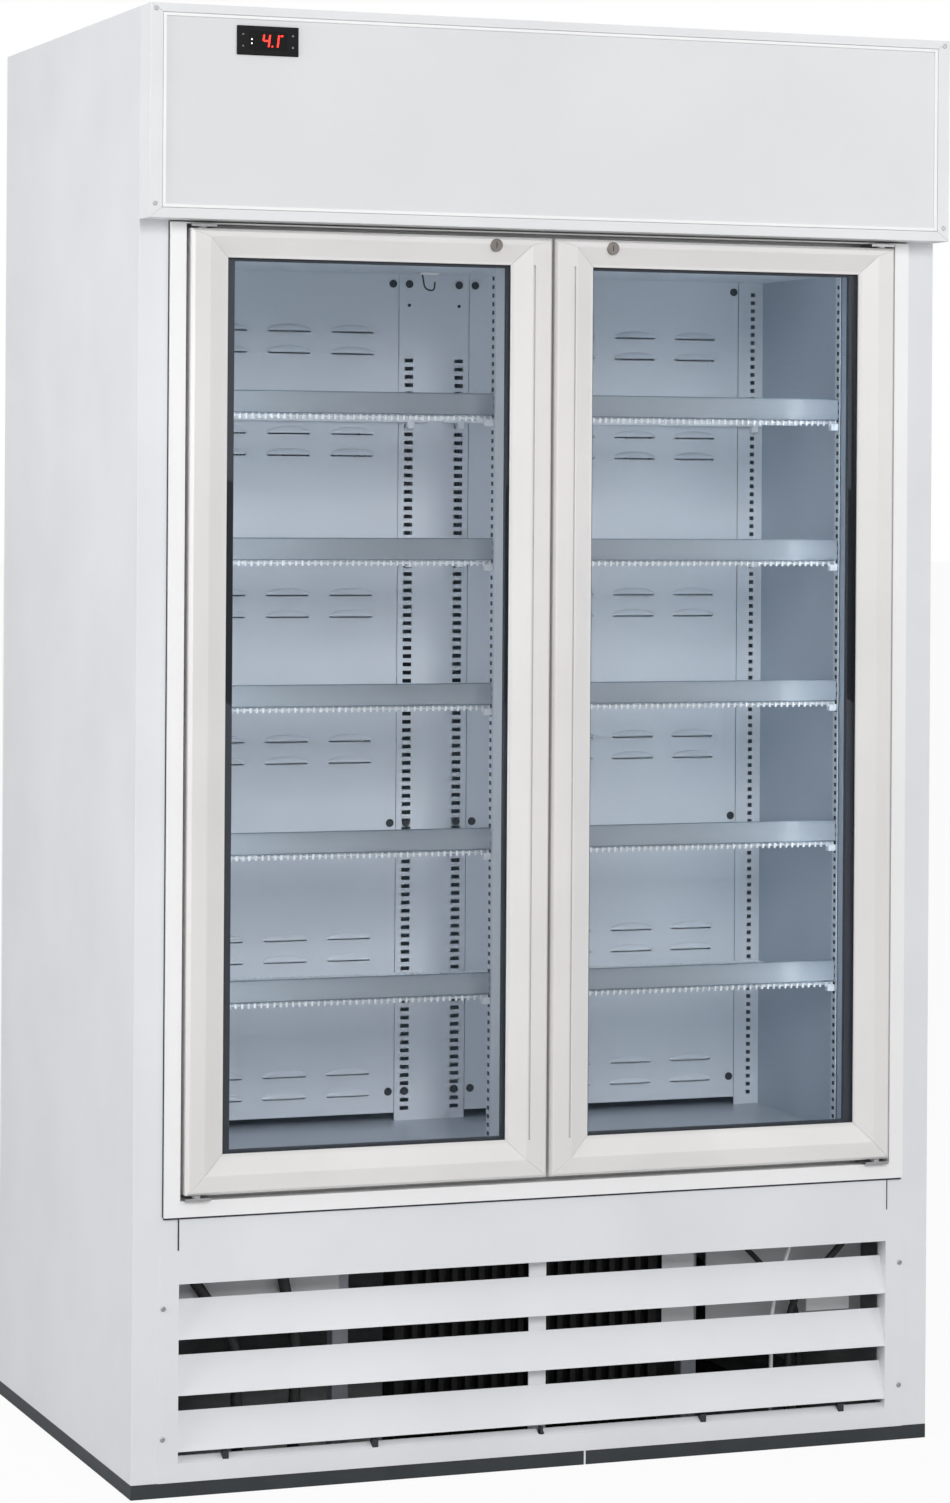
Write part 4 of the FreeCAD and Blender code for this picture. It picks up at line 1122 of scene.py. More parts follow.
@dataclass
class Canopy:
    """Projecting sign box: mitred frame with a bead, blank sheet and lamp."""

    side_lip: float = 18 * MM
    top_lip: float = 12 * MM
    bottom_lip: float = 14 * MM
    wall: float = 2 * MM
    edge: float = 0.6 * MM
    screw: Screw = Screw(3 * MM, 1 * MM, 0.5 * MM, 1.8 * MM)
    screw_inset: float = 8 * MM
    screw_rise: float = 19 * MM
    screw_drop: float = 8 * MM
    bead: float = 5 * MM
    bead_gap: float = 0.4 * MM
    bead_sunk: float = 0.2 * MM
    bead_round: float = 0.9 * MM
    bead_faces: int = 3

    def lip(self, extra: float, y: float) -> tuple[float, ...]:
        """Give a profile's point inside the lip, by an extra inset."""
        side = self.side_lip + extra
        return side, side, self.bottom_lip + extra, self.top_lip + extra, y

    def build(self) -> None:
        """Draw the mitred frame and the bead round the sheet, and dress the sheet and the lamp."""
        low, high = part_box("canopy_frame")
        sheet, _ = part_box("canopy_sign_panel")
        x, z, wall = (low.x, high.x), (low.z, high.z), (self.wall,) * 4
        members = Bench.mitred("sign_box_frame", x, z, [
            (0, 0, 0, 0, low.y), self.lip(0, low.y), self.lip(0, sheet.y), (*wall, sheet.y), (*wall, high.y),
            (0, 0, 0, 0, high.y)], self.edge)
        places = [(side * (high.x - self.screw_inset), low.y, level) for side in SIDES.values()
                  for level in (low.z + self.screw_rise, high.z - self.screw_drop)]
        screws = self.screw.sunk("sign_screws", members, places)
        settle(Bench.joined("sign_box_frame", members), Finish.CANOPY, nodes=["canopy_frame"])
        settle(screws, Finish.STEEL)
        face = low.y + self.bead_sunk
        bead = Bench.ring("sign_bead", x, z, [
            self.lip(self.bead_gap, face), self.lip(self.bead, face), self.lip(self.bead, sheet.y),
            self.lip(self.bead_gap, sheet.y)])
        settle(Bench.soften(bead, self.bead_round, self.bead_faces), Finish.BEAD)
        dress(Finish.SIGN, "canopy_sign_panel")
        dress(Finish.TUBE, "sign_lamp")


@dataclass
class Thermostat:
    """Thermostat in the canopy: bezel, sunk window, digits, pilots and key marks."""

    case_round: float = 1.2 * MM
    case_faces: int = 3
    window_side: float = 17 * MM
    window_rise: float = 7 * MM
    window_depth: float = 0.9 * MM
    overcut: float = 1 * MM
    pane: float = 0.3 * MM
    fine_round: float = 0.1 * MM
    reading_shift: float = 2.5 * MM
    digit_height: float = 17 * MM
    digit_width: float = 8.5 * MM
    digit_starts: Span = (-1.05, 0.45)
    point_place: float = 0.55
    point_sides: int = 12
    tick_span: Span = (1.75, 2.15)
    stroke: float = 2.3 * MM
    stroke_gap: float = 0.15
    stroke_rise: float = 0.3 * MM
    stroke_round: float = 0.12 * MM
    slant: float = 0.12
    pilot_inset: float = 4 * MM
    pilot_levels: Span = (1.5 * MM, -4 * MM)
    pilot_radius: float = 1.1 * MM
    pilot_height: float = 0.25 * MM
    pilot_sides: int = 16
    mark_inset: float = 8.5 * MM
    mark_level: float = 12 * MM
    mark_sides: tuple[int, int] = (3, 4)
    mark_radius: float = 1.6 * MM
    mark_height: float = 0.2 * MM
    mark_rim: float = 0.5 * MM
    mark_dish: float = 0.12 * MM

    def build(self) -> None:
        """Model the thermostat."""
        low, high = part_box("thermostat")
        case = Bench.soften(Bench.traced("thermostat", "thermostat_case"), self.case_round, self.case_faces)
        middle, floor = (low + high) / 2, low.y + self.window_depth
        left, right = low.x + self.window_side, high.x - self.window_side
        bottom, top = low.z + self.window_rise, high.z - self.window_rise
        Bench.cut(case, Bench.block("recess", (left, low.y - self.overcut, bottom), (right, floor, top)))
        settle(case, Finish.BEZEL, nodes=["thermostat"])
        face = floor - self.pane
        pane = Bench.block("thermostat_window", (left, face, bottom), (right, floor, top))
        settle(Bench.soften(pane, self.fine_round), Finish.WINDOW)
        self.reading(Vector((middle.x + self.reading_shift, face, middle.z)))
        pilots = [Bench.disc(f"pilot_{index}", (left + self.pilot_inset, face, middle.z + level), FRONT,
                             self.pilot_radius, self.pilot_height, self.pilot_sides)
                  for index, level in enumerate(self.pilot_levels)]
        pilots = [Bench.soften(pilot, self.fine_round) for pilot in pilots]
        settle(Bench.joined("thermostat_pilots", pilots), Finish.PILOT)
        self.marks(low, high)

    def reading(self, middle: Vector) -> None:
        """Show a four, a point, a one and a tick in slanted bars.

        Args:
            middle: Middle of the reading, on the window.
        """
        half, wide, thick = self.digit_height / 2, self.digit_width, self.stroke / 2
        gap = self.stroke * self.stroke_gap
        upright, lying = ((-thick, thick), (gap, half - gap)), ((gap, wide - gap), (-thick, thick))
        four, one = (wide * start for start in self.digit_starts)
        bars = [(four, half, upright), (four + wide, half, upright), (four + wide, 0, upright),
                (four, half, lying), (one + wide, half, upright), (one + wide, 0, upright)]
        pieces = []
        for index, (x, z, (across, rise)) in enumerate(bars):
            x, z = middle.x + x, middle.z - half + z
            bar = Bench.block(f"bar_{index}", (x + across[0], middle.y - self.stroke_rise, z + rise[0]),
                              (x + across[1], middle.y, z + rise[1]))
            pieces.append(Bench.soften(bar, self.stroke_round))
        spot = (middle.x + wide * self.point_place, middle.y, middle.z - half + thick)
        point = Bench.disc("point", spot, FRONT, thick, self.stroke_rise, self.point_sides)
        near, far = (middle.x + wide * end for end in self.tick_span)
        tick = Bench.block("tick", (near, middle.y - self.stroke_rise, middle.z + half - self.stroke),
                           (far, middle.y, middle.z + half))
        pieces += [Bench.soften(piece, self.fine_round) for piece in (point, tick)]
        reading = Bench.joined("thermostat_reading", pieces)
        with Bench.editing(reading):
            for lift in (-half, -half / 2, 0, half / 2, half):
                level = middle.z + lift
                Bench.choose(reading, "VERT", lambda vert: abs(vert.co.z - level) <= half / 4)
                bpy.ops.transform.translate(value=(self.slant * lift, 0, 0))
        settle(reading, Finish.DIGIT)

    def marks(self, low: Vector, high: Vector) -> None:
        """Print small dished key marks beside the window, three-sided left and four-sided right.

        Args:
            low: Lowest corner of the thermostat.
            high: Highest corner of the thermostat.
        """
        marks = []
        for x, sides in zip((low.x + self.mark_inset, high.x - self.mark_inset), self.mark_sides):
            for z in (low.z + self.mark_level, high.z - self.mark_level):
                mark = Bench.disc("mark", (x, low.y, z), FRONT, self.mark_radius, self.mark_height, sides)
                with Bench.editing(mark):
                    Bench.choose(mark, "FACE", looks_front)
                    bpy.ops.mesh.inset(thickness=self.mark_rim)
                    bpy.ops.transform.translate(value=(0, self.mark_dish, 0))
                marks.append(mark)
        settle(Bench.joined("thermostat_marks", marks), Finish.MARK)


@dataclass
class Surround:
    """Door surround with its sealing land, and the mullion behind the meeting doors."""

    lip: float = 22 * MM
    head: float = 2 * MM
    land: float = 43 * MM
    land_setback: float = 30 * MM
    tongue: float = 13 * MM
    head_tongue: float = 1 * MM
    proud: float = 8 * MM
    edge: float = 0.4 * MM
    mullion_round: float = 2 * MM
    mullion_faces: int = 3
    bracket_round: float = 0.5 * MM
    # Dark strips of painted shade in the shadowed gaps round the surround: side width, sill height, depth and
    # rounding.
    shade_strip_side: float = 1.6 * MM
    shade_strip_sill: float = 3.2 * MM
    shade_strip_depth: float = 1.4 * MM
    seal_round: float = 0.3 * MM

    def build(self) -> None:
        """Model and dress the surround, the mullion and the hinge brackets."""
        low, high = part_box("surround_frame")
        land, front = low.y + self.land_setback, low.y + self.proud
        inner, inner_head = self.lip + self.land, self.head + self.land
        points = [(0, 0, low.y), (self.lip, self.head, low.y), (self.lip, self.head, land),
                  (inner, inner_head, land), (inner, inner_head, high.y),
                  (self.tongue, self.head_tongue, high.y), (self.tongue, self.head_tongue, front),
                  (0, 0, front)]
        profile = [(jamb, jamb, jamb, head, y) for jamb, head, y in points]
        piece = Bench.ring("door_surround", (low.x, high.x), (low.z, high.z), profile)
        settle(Bench.soften(piece, self.edge), Finish.SURROUND, nodes=["surround_frame"])
        refine("centre_mullion", "door_mullion", self.mullion_round, Finish.SURROUND,
               segments=self.mullion_faces)
        refine("hinge_brackets", "pivot_brackets", self.bracket_round, Finish.STEEL)
        self.shade_strips(low, high)

    def shade_strips(self, low: Vector, high: Vector) -> None:
        """Lay dark strips of painted shade along the outer edges of the surround and under its sill, where
        the gaps fall in shadow.

        Args:
            low: Lowest corner of the surround.
            high: Highest corner of the surround.
        """
        face = low.y + self.proud
        band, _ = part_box("louvre_grille")
        strips = [Bench.block("sill_shade_strip", (low.x, band.y - self.shade_strip_depth, low.z - self.shade_strip_sill),
                              (high.x, band.y, low.z))]
        for label, side in SIDES.items():
            near, far = sorted((side * high.x, side * (high.x + self.shade_strip_side)))
            strips.append(Bench.block(f"{label}_strip", (near, face - self.shade_strip_depth, low.z),
                                      (far, face, high.z)))
        strips = [Bench.soften(strip, self.seal_round) for strip in strips]
        # Painted shade: dark strips where the gaps round the surround lie in shadow.
        settle(Bench.joined("surround_painted_shade", strips), Finish.SPACER)


@dataclass
class GlassDoor:
    """A hinged door: mitred frame with a sloping inner face, double glazing, seal and lock."""

    label: str
    hinge_stile: float = 54 * MM
    handle_stile: float = 60 * MM
    top_rail: float = 39 * MM
    bottom_rail: float = 54 * MM
    slope_run: float = 28 * MM
    slope_drop: float = 10 * MM
    bead: float = 4 * MM
    edge: float = 4 * MM
    edge_drop: float = 6 * MM
    edge_round: float = 1.1 * MM
    edge_faces: int = 3
    edge_angle: float = 20
    pocket: float = 12 * MM
    pocket_setback: float = 14 * MM
    pocket_depth: float = 16 * MM
    pane: float = 4 * MM
    pane_sunk: float = 10 * MM
    pane_round: float = 0.6 * MM
    spacer_shown: float = 4 * MM
    # The spacer shows wider on the hinge side: a real dark bar, widened to paint the shadowed jamb seen
    # through the glass by the stile.
    spacer_hinge_shade: float = 12 * MM
    grip_inset: float = 27 * MM
    grip_width: float = 3 * MM
    grip_depth: float = 4 * MM
    overcut: float = 5 * MM
    bore_play: float = 0.05 * MM
    bore_sides: int = 48
    barrel_round: float = 0.5 * MM
    plug_round: float = 0.25 * MM
    # Size, sinking and rounding of the dark block that paints the shade in the key slot.
    keyway_shade: Point = (1.6 * MM, 8 * MM, 2.5 * MM)
    keyway_shade_sunk: float = 0.3 * MM
    keyway_shade_round: float = 0.15 * MM
    seal_inset: float = 19 * MM
    seal_width: float = 16 * MM
    seal_fold: float = 3 * MM
    seal_waist: float = 0.45
    seal_round: float = 0.8 * MM

    @property
    def side(self) -> int:
        """Which way the hinge lies from the middle."""
        return SIDES[self.label]

    @property
    def body(self) -> str:
        """The CAD body that the door's pieces ride on."""
        return f"{self.label}_door"

    def across(self, hinge: float, handle: float) -> Span:
        """Put a value of the hinge's side and one of the handle's side in order, left and right."""
        return (hinge, handle) if self.side < 0 else (handle, hinge)

    def insets(self, less: float) -> tuple[float, ...]:
        """Give the frame's widths less a length, as left, right, bottom and top."""
        return (*self.across(self.hinge_stile - less, self.handle_stile - less), self.bottom_rail - less,
                self.top_rail - less)

    def build(self) -> None:
        """Model and dress the door."""
        node, name = f"{self.label}_door_frame", f"{self.label}_leaf_frame"
        low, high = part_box(node)
        x, z, front, back = (low.x, high.x), (low.z, high.z), low.y, high.y
        slope, seat = front + self.slope_drop, front + self.pocket_setback
        rest = seat + self.pocket_depth
        inner, pocket = self.insets(0), self.insets(self.pocket)
        profile = [(0, 0, 0, 0, back), (0, 0, 0, 0, front + self.edge_drop), (*(self.edge,) * 4, front),
                   (*self.insets(self.slope_run), front), (*self.insets(self.bead), slope), (*inner, slope),
                   (*inner, seat), (*pocket, seat), (*pocket, rest), (*inner, rest), (*inner, back)]
        members = Bench.mitred(name, x, z, profile, self.edge_round, self.edge_faces, self.edge_angle)
        _, right, rail, left = members
        Bench.cut(rail, self.lock_bore(front, back))
        Bench.cut(right if self.side < 0 else left, self.grip(x, z, front))
        settle(Bench.joined(name, members), Finish.DOOR, self.body, [node])
        self.glazing(x, z, seat)
        self.seal(x, z)
        self.lock()

    def lock_bore(self, front: float, back: float) -> Piece:
        """Give the hole that the lock's barrel sits in.

        Args:
            front: Y of the frame's front.
            back: Y of the frame's back.

        Returns:
            The tool that cuts it.
        """
        low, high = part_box(f"{self.label}_lock_barrel")
        start = ((low.x + high.x) / 2, front - self.overcut, (low.z + high.z) / 2)
        return Bench.disc("lock_hole", start, (0, 1, 0), (high.x - low.x) / 2 + self.bore_play,
                          back - front + 2 * self.overcut, self.bore_sides)

    def grip(self, x: Span, z: Span, front: float) -> Piece:
        """Give the finger groove along the meeting stile.

        Args:
            x: The frame's span across.
            z: The frame's span upwards.
            front: Y of the frame's front.

        Returns:
            The tool that cuts it.
        """
        inner = x[1] if self.side < 0 else x[0]
        near, far = sorted(inner + self.side * reach
                           for reach in (self.grip_inset, self.grip_inset + self.grip_width))
        return Bench.block("groove", (near, front - self.overcut, z[0] + self.bottom_rail),
                           (far, front + self.grip_depth, z[1] - self.top_rail))

    def glazing(self, x: Span, z: Span, seat: float) -> None:
        """Set two panes and the spacer bar between them.

        Args:
            x: The frame's span across.
            z: The frame's span upwards.
            seat: Y of the front pane's face.
        """
        left, right, bottom, top = self.insets(self.pane_sunk)
        across, rise = (x[0] + left, x[1] - right), (z[0] + bottom, z[1] - top)
        near, far = seat + self.pane, seat + self.pocket_depth - self.pane
        panes = []
        for index, start in enumerate((seat, far)):
            pane = Bench.block(f"pane_{index}", (across[0], start, rise[0]),
                               (across[1], start + self.pane, rise[1]))
            panes.append(Bench.soften(pane, self.pane_round))
        piece = Bench.joined(f"{self.label}_panes", panes)
        settle(piece, Finish.GLASS, self.body, [f"{self.label}_door_glazing"])
        shown = self.pane_sunk + self.spacer_shown
        # Painted shade: the wider spacer on the hinge side.
        inset = (*self.across(self.pane_sunk + self.spacer_hinge_shade, shown), shown, shown)
        bar = Bench.ring(f"{self.label}_spacer", across, rise, [
            (0, 0, 0, 0, near), (*inset, near), (*inset, far), (0, 0, 0, 0, far)])
        settle(Bench.soften(bar, self.seal_round), Finish.SPACER, self.body)

    def seal(self, x: Span, z: Span) -> None:
        """Draw the folded magnetic seal round the back of the frame.

        Args:
            x: The frame's span across.
            z: The frame's span upwards.
        """
        node = f"{self.label}_door_gasket"
        low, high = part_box(node)
        outer, inner = self.seal_inset, self.seal_inset + self.seal_width
        waist = low.y + (high.y - low.y) * self.seal_waist
        points = [(outer, low.y), (inner, low.y), (inner - self.seal_fold, waist), (inner, high.y),
                  (outer, high.y), (outer + self.seal_fold, waist)]
        piece = Bench.ring(f"{self.label}_seal", x, z, [(*(inset,) * 4, y) for inset, y in points])
        settle(Bench.soften(piece, self.seal_round), Finish.GASKET, self.body, [node])

    def lock(self) -> None:
        """Round the lock's barrel and plug, and set a dark block in the plug's key slot as painted shade."""
        turning = f"{self.label}_lock"
        for part, width, body in (("barrel", self.barrel_round, self.body),
                                  ("plug", self.plug_round, turning)):
            refine(f"{self.label}_lock_{part}", f"{self.label}_cylinder_{part}", width, Finish.CHROME,
                   body)
        low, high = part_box(f"{self.label}_lock_barrel")
        middle = (low + high) / 2
        # Painted shade: a dark block in the key slot, where it lies in shadow.
        wide, tall, deep = self.keyway_shade
        slot = Bench.block(f"{self.label}_keyway",
                           (middle.x - wide / 2, low.y + self.keyway_shade_sunk, middle.z - tall / 2),
                           (middle.x + wide / 2, low.y + deep, middle.z + tall / 2))
        settle(Bench.soften(slot, self.keyway_shade_round), Finish.PLUG, turning)


@dataclass
class AirDuct:
    """Lining of the cold space, and its air-duct panels with pressed louvres."""

    sheet: float = 1.2 * MM
    drops: tuple[float, ...] = (99 * MM, 252 * MM, 494 * MM, 713 * MM, 1010 * MM, 1214 * MM)
    columns: tuple[float, ...] = (130 * MM, 230 * MM, 330 * MM, 430 * MM)
    pair: float = 32.5 * MM
    length: float = 66 * MM
    seat: float = 6 * MM
    slot_below: float = 2.2 * MM
    slot_above: float = 3 * MM
    overcut: float = 5 * MM
    hood_lap: float = 2 * MM
    hood_rise: float = 10 * MM
    hood_depth: float = 5 * MM
    hood_sheet: float = 0.8 * MM
    hood_segments: int = 24
    hood_rings: int = 12

    def build(self) -> None:
        """Dress the lining and model the panels."""
        dress(Finish.WALL, "liner_walls")
        dress(Finish.FLOOR, "liner_floor")
        dress(Finish.LINER, "liner_back", "liner_ceiling")
        for label, side in SIDES.items():
            self.panel(label, side)

    def panel(self, label: str, side: int) -> None:
        """Model an air-duct panel with rows of pressed louvres.

        Args:
            label: Which panel.
            side: Which way it lies from the middle.
        """
        node, name = f"{label}_duct_panel", f"{label}_air_panel"
        low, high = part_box(node)
        face = high.y - self.sheet
        sheet = Bench.block(name, (low.x, face, low.z), high)
        places = [(side * x, face, high.z - drop + lift - self.seat) for drop in self.drops
                  for lift in (-self.pair / 2, self.pair / 2) for x in self.columns]
        half = self.length / 2
        slots = [Bench.block("slot", (x - half, y - self.overcut, z - self.slot_below),
                             (x + half, y + self.overcut, z + self.slot_above)) for x, y, z in places]
        Bench.cut(sheet, Bench.joined("slots", slots))
        hoods = Bench.spread(self.hood(), "hood", places)
        settle(Bench.joined(name, [sheet, *hoods]), Finish.LINER, nodes=[node])

    def hood(self) -> Piece:
        """Model one pressed hood, open below, with the middle of its lower edge at the origin.

        Returns:
            The hood.
        """
        Bench.clear()
        bpy.ops.mesh.primitive_uv_sphere_add(segments=self.hood_segments, ring_count=self.hood_rings,
                                             radius=1)
        bpy.context.active_object.scale = (self.length / 2 + self.hood_lap, self.hood_depth, self.hood_rise)
        piece = Bench.named("hood_pattern")
        with Bench.editing(piece):
            Bench.choose(piece, "FACE", lambda face: face.calc_center_median().z < 0
                         or face.calc_center_median().y > 0)
            bpy.ops.mesh.delete(type="FACE")
        Bench.modify(piece, "SOLIDIFY", thickness=self.hood_sheet)
        return Bench.smooth(piece, ROUND_ANGLE)


@dataclass
class Standards:
    """Slotted shelf standards on the rear wall, the side walls and the centre post."""

    centre_slot: Span = (14 * MM, 6 * MM)
    side_slot: Span = (7 * MM, 6 * MM)
    upright_slot: Span = (10 * MM, 6 * MM)
    slot_pitch: float = 12.4 * MM
    slot_start: float = 12 * MM
    slot_end: float = 113 * MM
    side_slot_end: float = 12 * MM
    cell_rim: float = 1 * MM
    level_reach: float = 0.1 * MM
    centre_half: float = 57 * MM
    edge: float = 17 * MM
    side_width: float = 42 * MM
    joint: float = 1 * MM
    # Thickness of each strip, and of the dark sheet behind its slots that paints the shade there.
    wall_sheets: Span = (1.2 * MM, 1.7 * MM)
    post_sheets: Span = (0.5 * MM, 0.3 * MM)
    post_inset: float = 1 * MM
    post_round: float = 1 * MM

    def build(self) -> None:
        """Model the standards."""
        self.rear()
        self.front()

    def strip(self, name: str, x: Span, z: Span, slot_x: float, last: float, slot: Span) -> Piece:
        """Model a flat strip with a column of slots, facing -Y at Y 0.

        Args:
            name: The piece's name.
            x: Span across.
            z: Span upwards.
            slot_x: Middle of the slots.
            last: Distance from the last slot to the top.
            slot: Width and height of each slot.

        Returns:
            The strip, one face thick.
        """
        first = z[0] + self.slot_start
        count = int((z[1] - last - first) / self.slot_pitch)
        middle, breadth = Vector(((x[0] + x[1]) / 2, 0, first + self.slot_pitch / 2)), x[1] - x[0]
        cell = Bench.face(name, middle, breadth, self.slot_pitch)
        wide, tall = breadth - 2 * self.cell_rim, self.slot_pitch - 2 * self.cell_rim
        with Bench.editing(cell):
            bpy.ops.mesh.inset(thickness=self.cell_rim)
            bpy.ops.transform.translate(value=(slot_x - middle.x, 0, 0))
            bpy.ops.transform.resize(value=(slot[0] / wide, 1, slot[1] / tall),
                                     center_override=(slot_x, 0, middle.z))
            bpy.ops.mesh.delete(type="FACE")
        Bench.repeated(cell, count, (0, 0, self.slot_pitch))
        top = first + count * self.slot_pitch
        with Bench.editing(cell):
            for level, end in ((first, z[0]), (top, z[1])):
                Bench.choose(cell, "EDGE", lambda edge: all(abs(vert.co.z - level) < self.level_reach
                                                            for vert in edge.verts))
                bpy.ops.mesh.extrude_region_move(TRANSFORM_OT_translate={"value": (0, 0, end - level)})
        return cell

    @staticmethod
    def thickened(piece: Piece, thickness: float) -> Piece:
        """Give a strip its sheet thickness, behind its face."""
        Bench.weld(piece)
        return Bench.modify(piece, "SOLIDIFY", thickness=thickness, offset=-1)

    def rear(self) -> None:
        """Model the slotted standards on the rear wall."""
        low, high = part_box("rear_standards")
        z, strips = (low.z, high.z), []
        for label, side in SIDES.items():
            outer, half = side * high.x, side * self.centre_half
            columns = (("centre", 0, half - side * self.joint, half - side * self.edge, self.slot_end,
                        self.centre_slot),
                       ("side", outer, outer - side * (self.side_width - self.joint),
                        outer - side * self.edge, self.side_slot_end, self.side_slot))
            for name, start, end, slot_x, last, slot in columns:
                near, far = sorted((start, end))
                strips.append(self.strip(f"{label}_{name}_column", (near, far), z, slot_x, last, slot))
        piece = Bench.put(Bench.joined("slotted_rear_standards", strips), (0, low.y, 0))
        settle(self.thickened(piece, high.y - low.y), Finish.LINER, nodes=["rear_standards"])

    def pair(self, name: str, face: float, way: int, y: Span, z: Span,
             sheets: Span) -> tuple[list[Piece], list[Piece]]:
        """Model a slotted strip on each of two faces across X, and dark sheets behind their slots that paint
        the shade there.

        Args:
            name: End of the strips' names.
            face: X of the right face; the left one lies opposite.
            way: 1 if the strips look away from the middle, or -1.
            y: Their span from front to back.
            z: Their span upwards.
            sheets: Thickness of strip and of the dark sheet of painted shade.

        Returns:
            The strips and the dark sheets of painted shade.
        """
        sheet, shade_backing = sheets
        half, strips, shade_backs = (y[1] - y[0]) / 2, [], []
        for label, side in SIDES.items():
            start, turn = face * side, way * side
            strip = self.strip(f"{label}_{name}", (-half, half), z, 0, self.side_slot_end, self.upright_slot)
            place = (start + turn * (sheet + shade_backing), (y[0] + y[1]) / 2, 0)
            strips.append(self.thickened(Bench.put(strip, place, turn * HALF_TURN / 2), sheet))
            # Painted shade: a dark sheet behind the slots, where the cavity lies in shadow.
            near, far = sorted((start, start + turn * shade_backing))
            shade_backs.append(Bench.block(f"{label}_{name}_backing", (near, y[0] + self.joint, z[0]),
                                     (far, y[1] - self.joint, z[1])))
        return strips, shade_backs

    def front(self) -> None:
        """Model the narrow slotted standards on the side walls and the slotted centre post."""
        low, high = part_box("front_standards")
        z = (low.z, high.z)
        strips, wall_shade_backs = self.pair("wall_column", high.x, -1, (low.y, high.y), z, self.wall_sheets)
        settle(Bench.joined("slotted_front_standards", strips), Finish.LINER,
               nodes=["front_standards"])
        refine("centre_shelf_post", "shelf_post", self.post_round, Finish.LINER)
        low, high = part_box("centre_shelf_post")
        y = (low.y + self.post_inset, high.y - self.post_inset)
        strips, post_shade_backs = self.pair("post_column", high.x, 1, y, z, self.post_sheets)
        settle(Bench.joined("post_slots", strips), Finish.LINER)
        # Painted shade: the dark sheets behind the slots.
        settle(Bench.joined("slot_painted_shade", wall_shade_backs + post_shade_backs), Finish.PLUG)


@dataclass
class InnerTrim:
    """Hole plugs, lamp strips and the sensor under the ceiling."""

    plug_radius: float = 6 * MM
    plug_columns: tuple[float, ...] = (40 * MM, 66 * MM, 495 * MM)
    plug_drop: float = 15 * MM
    plug_rises: Span = (449 * MM, 44 * MM)
    dot_radius: float = 2.6 * MM
    dot_column: float = 40 * MM
    dot_drop: float = 47 * MM
    plug_height: float = 0.4
    plug_round: float = 0.2
    plug_rim: float = 0.27
    plug_dish: float = 0.13
    plug_sides: int = 20
    plug_faces: int = 3
    strip_round: float = 4 * MM
    strip_faces: int = 4
    sensor_x: float = -30 * MM
    sensor_gap: float = 60 * MM
    base_span: Span = (-15 * MM, 13 * MM)
    base_half: float = 6 * MM
    base_height: float = 4 * MM
    base_round: float = 1 * MM
    loop: tuple[Span, ...] = ((-11 * MM, -3 * MM), (-7 * MM, -25 * MM), (8 * MM, -28 * MM),
                              (9 * MM, -14 * MM))
    loop_radius: float = 1.3 * MM
    loop_bend: float = 6 * MM
    loop_steps: int = 2

    def build(self) -> None:
        """Model the trim."""
        self.plugs()
        refine("interior_lamps", "strip_covers", self.strip_round, Finish.STRIP,
               segments=self.strip_faces)
        self.sensor()

    def plugs(self) -> None:
        """Press black plugs into the rear wall's spare holes."""
        wall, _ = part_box("rear_standards")
        low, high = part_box("liner_walls")
        levels = (high.z - self.plug_drop, *(low.z + rise for rise in self.plug_rises))
        places = [(side * x, wall.y, z) for side in SIDES.values() for x in self.plug_columns for z in levels]
        dots = [(side * self.dot_column, wall.y, high.z - self.dot_drop) for side in SIDES.values()]
        plugs = [*Bench.spread(self.plug(self.plug_radius), "plug", places),
                 *Bench.spread(self.plug(self.dot_radius), "dot", dots)]
        settle(Bench.joined("hole_plugs", plugs), Finish.PLUG)

    def plug(self, radius: float) -> Piece:
        """Model one domed plug with a dished middle, seated at the origin.

        Args:
            radius: Its radius.

        Returns:
            The plug.
        """
        height = radius * self.plug_height
        pattern = Bench.disc("plug_pattern", ORIGIN, FRONT, radius, height, self.plug_sides)
        with Bench.editing(pattern):
            Bench.choose(pattern, "FACE", looks_front)
            bpy.ops.mesh.bevel(offset=radius * self.plug_round, segments=self.plug_faces)
            Bench.choose(pattern, "FACE", looks_front)
            bpy.ops.mesh.inset(thickness=radius * self.plug_rim)
            bpy.ops.transform.translate(value=(0, radius * self.plug_dish, 0))
        return Bench.smooth(pattern, TURNED_ANGLE)

    def sensor(self) -> None:
        """Hang the dark sensor loop from its pale base under the ceiling, left of the middle."""
        _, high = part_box("liner_walls")
        wall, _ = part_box("rear_standards")
        x, y, top = self.sensor_x, wall.y - self.sensor_gap, high.z
        near, far = self.base_span
        base = Bench.block("sensor_base", (x + near, y - self.base_half, top - self.base_height),
                           (x + far, y + self.base_half, top))
        settle(Bench.soften(base, self.base_round), Finish.SURROUND)
        points = [(x + across, y, top + rise) for across, rise in self.loop]
        loop = Bench.tube("sensor_loop", points, self.loop_radius, self.loop_bend, self.loop_steps)
        settle(loop, Finish.PLUG)


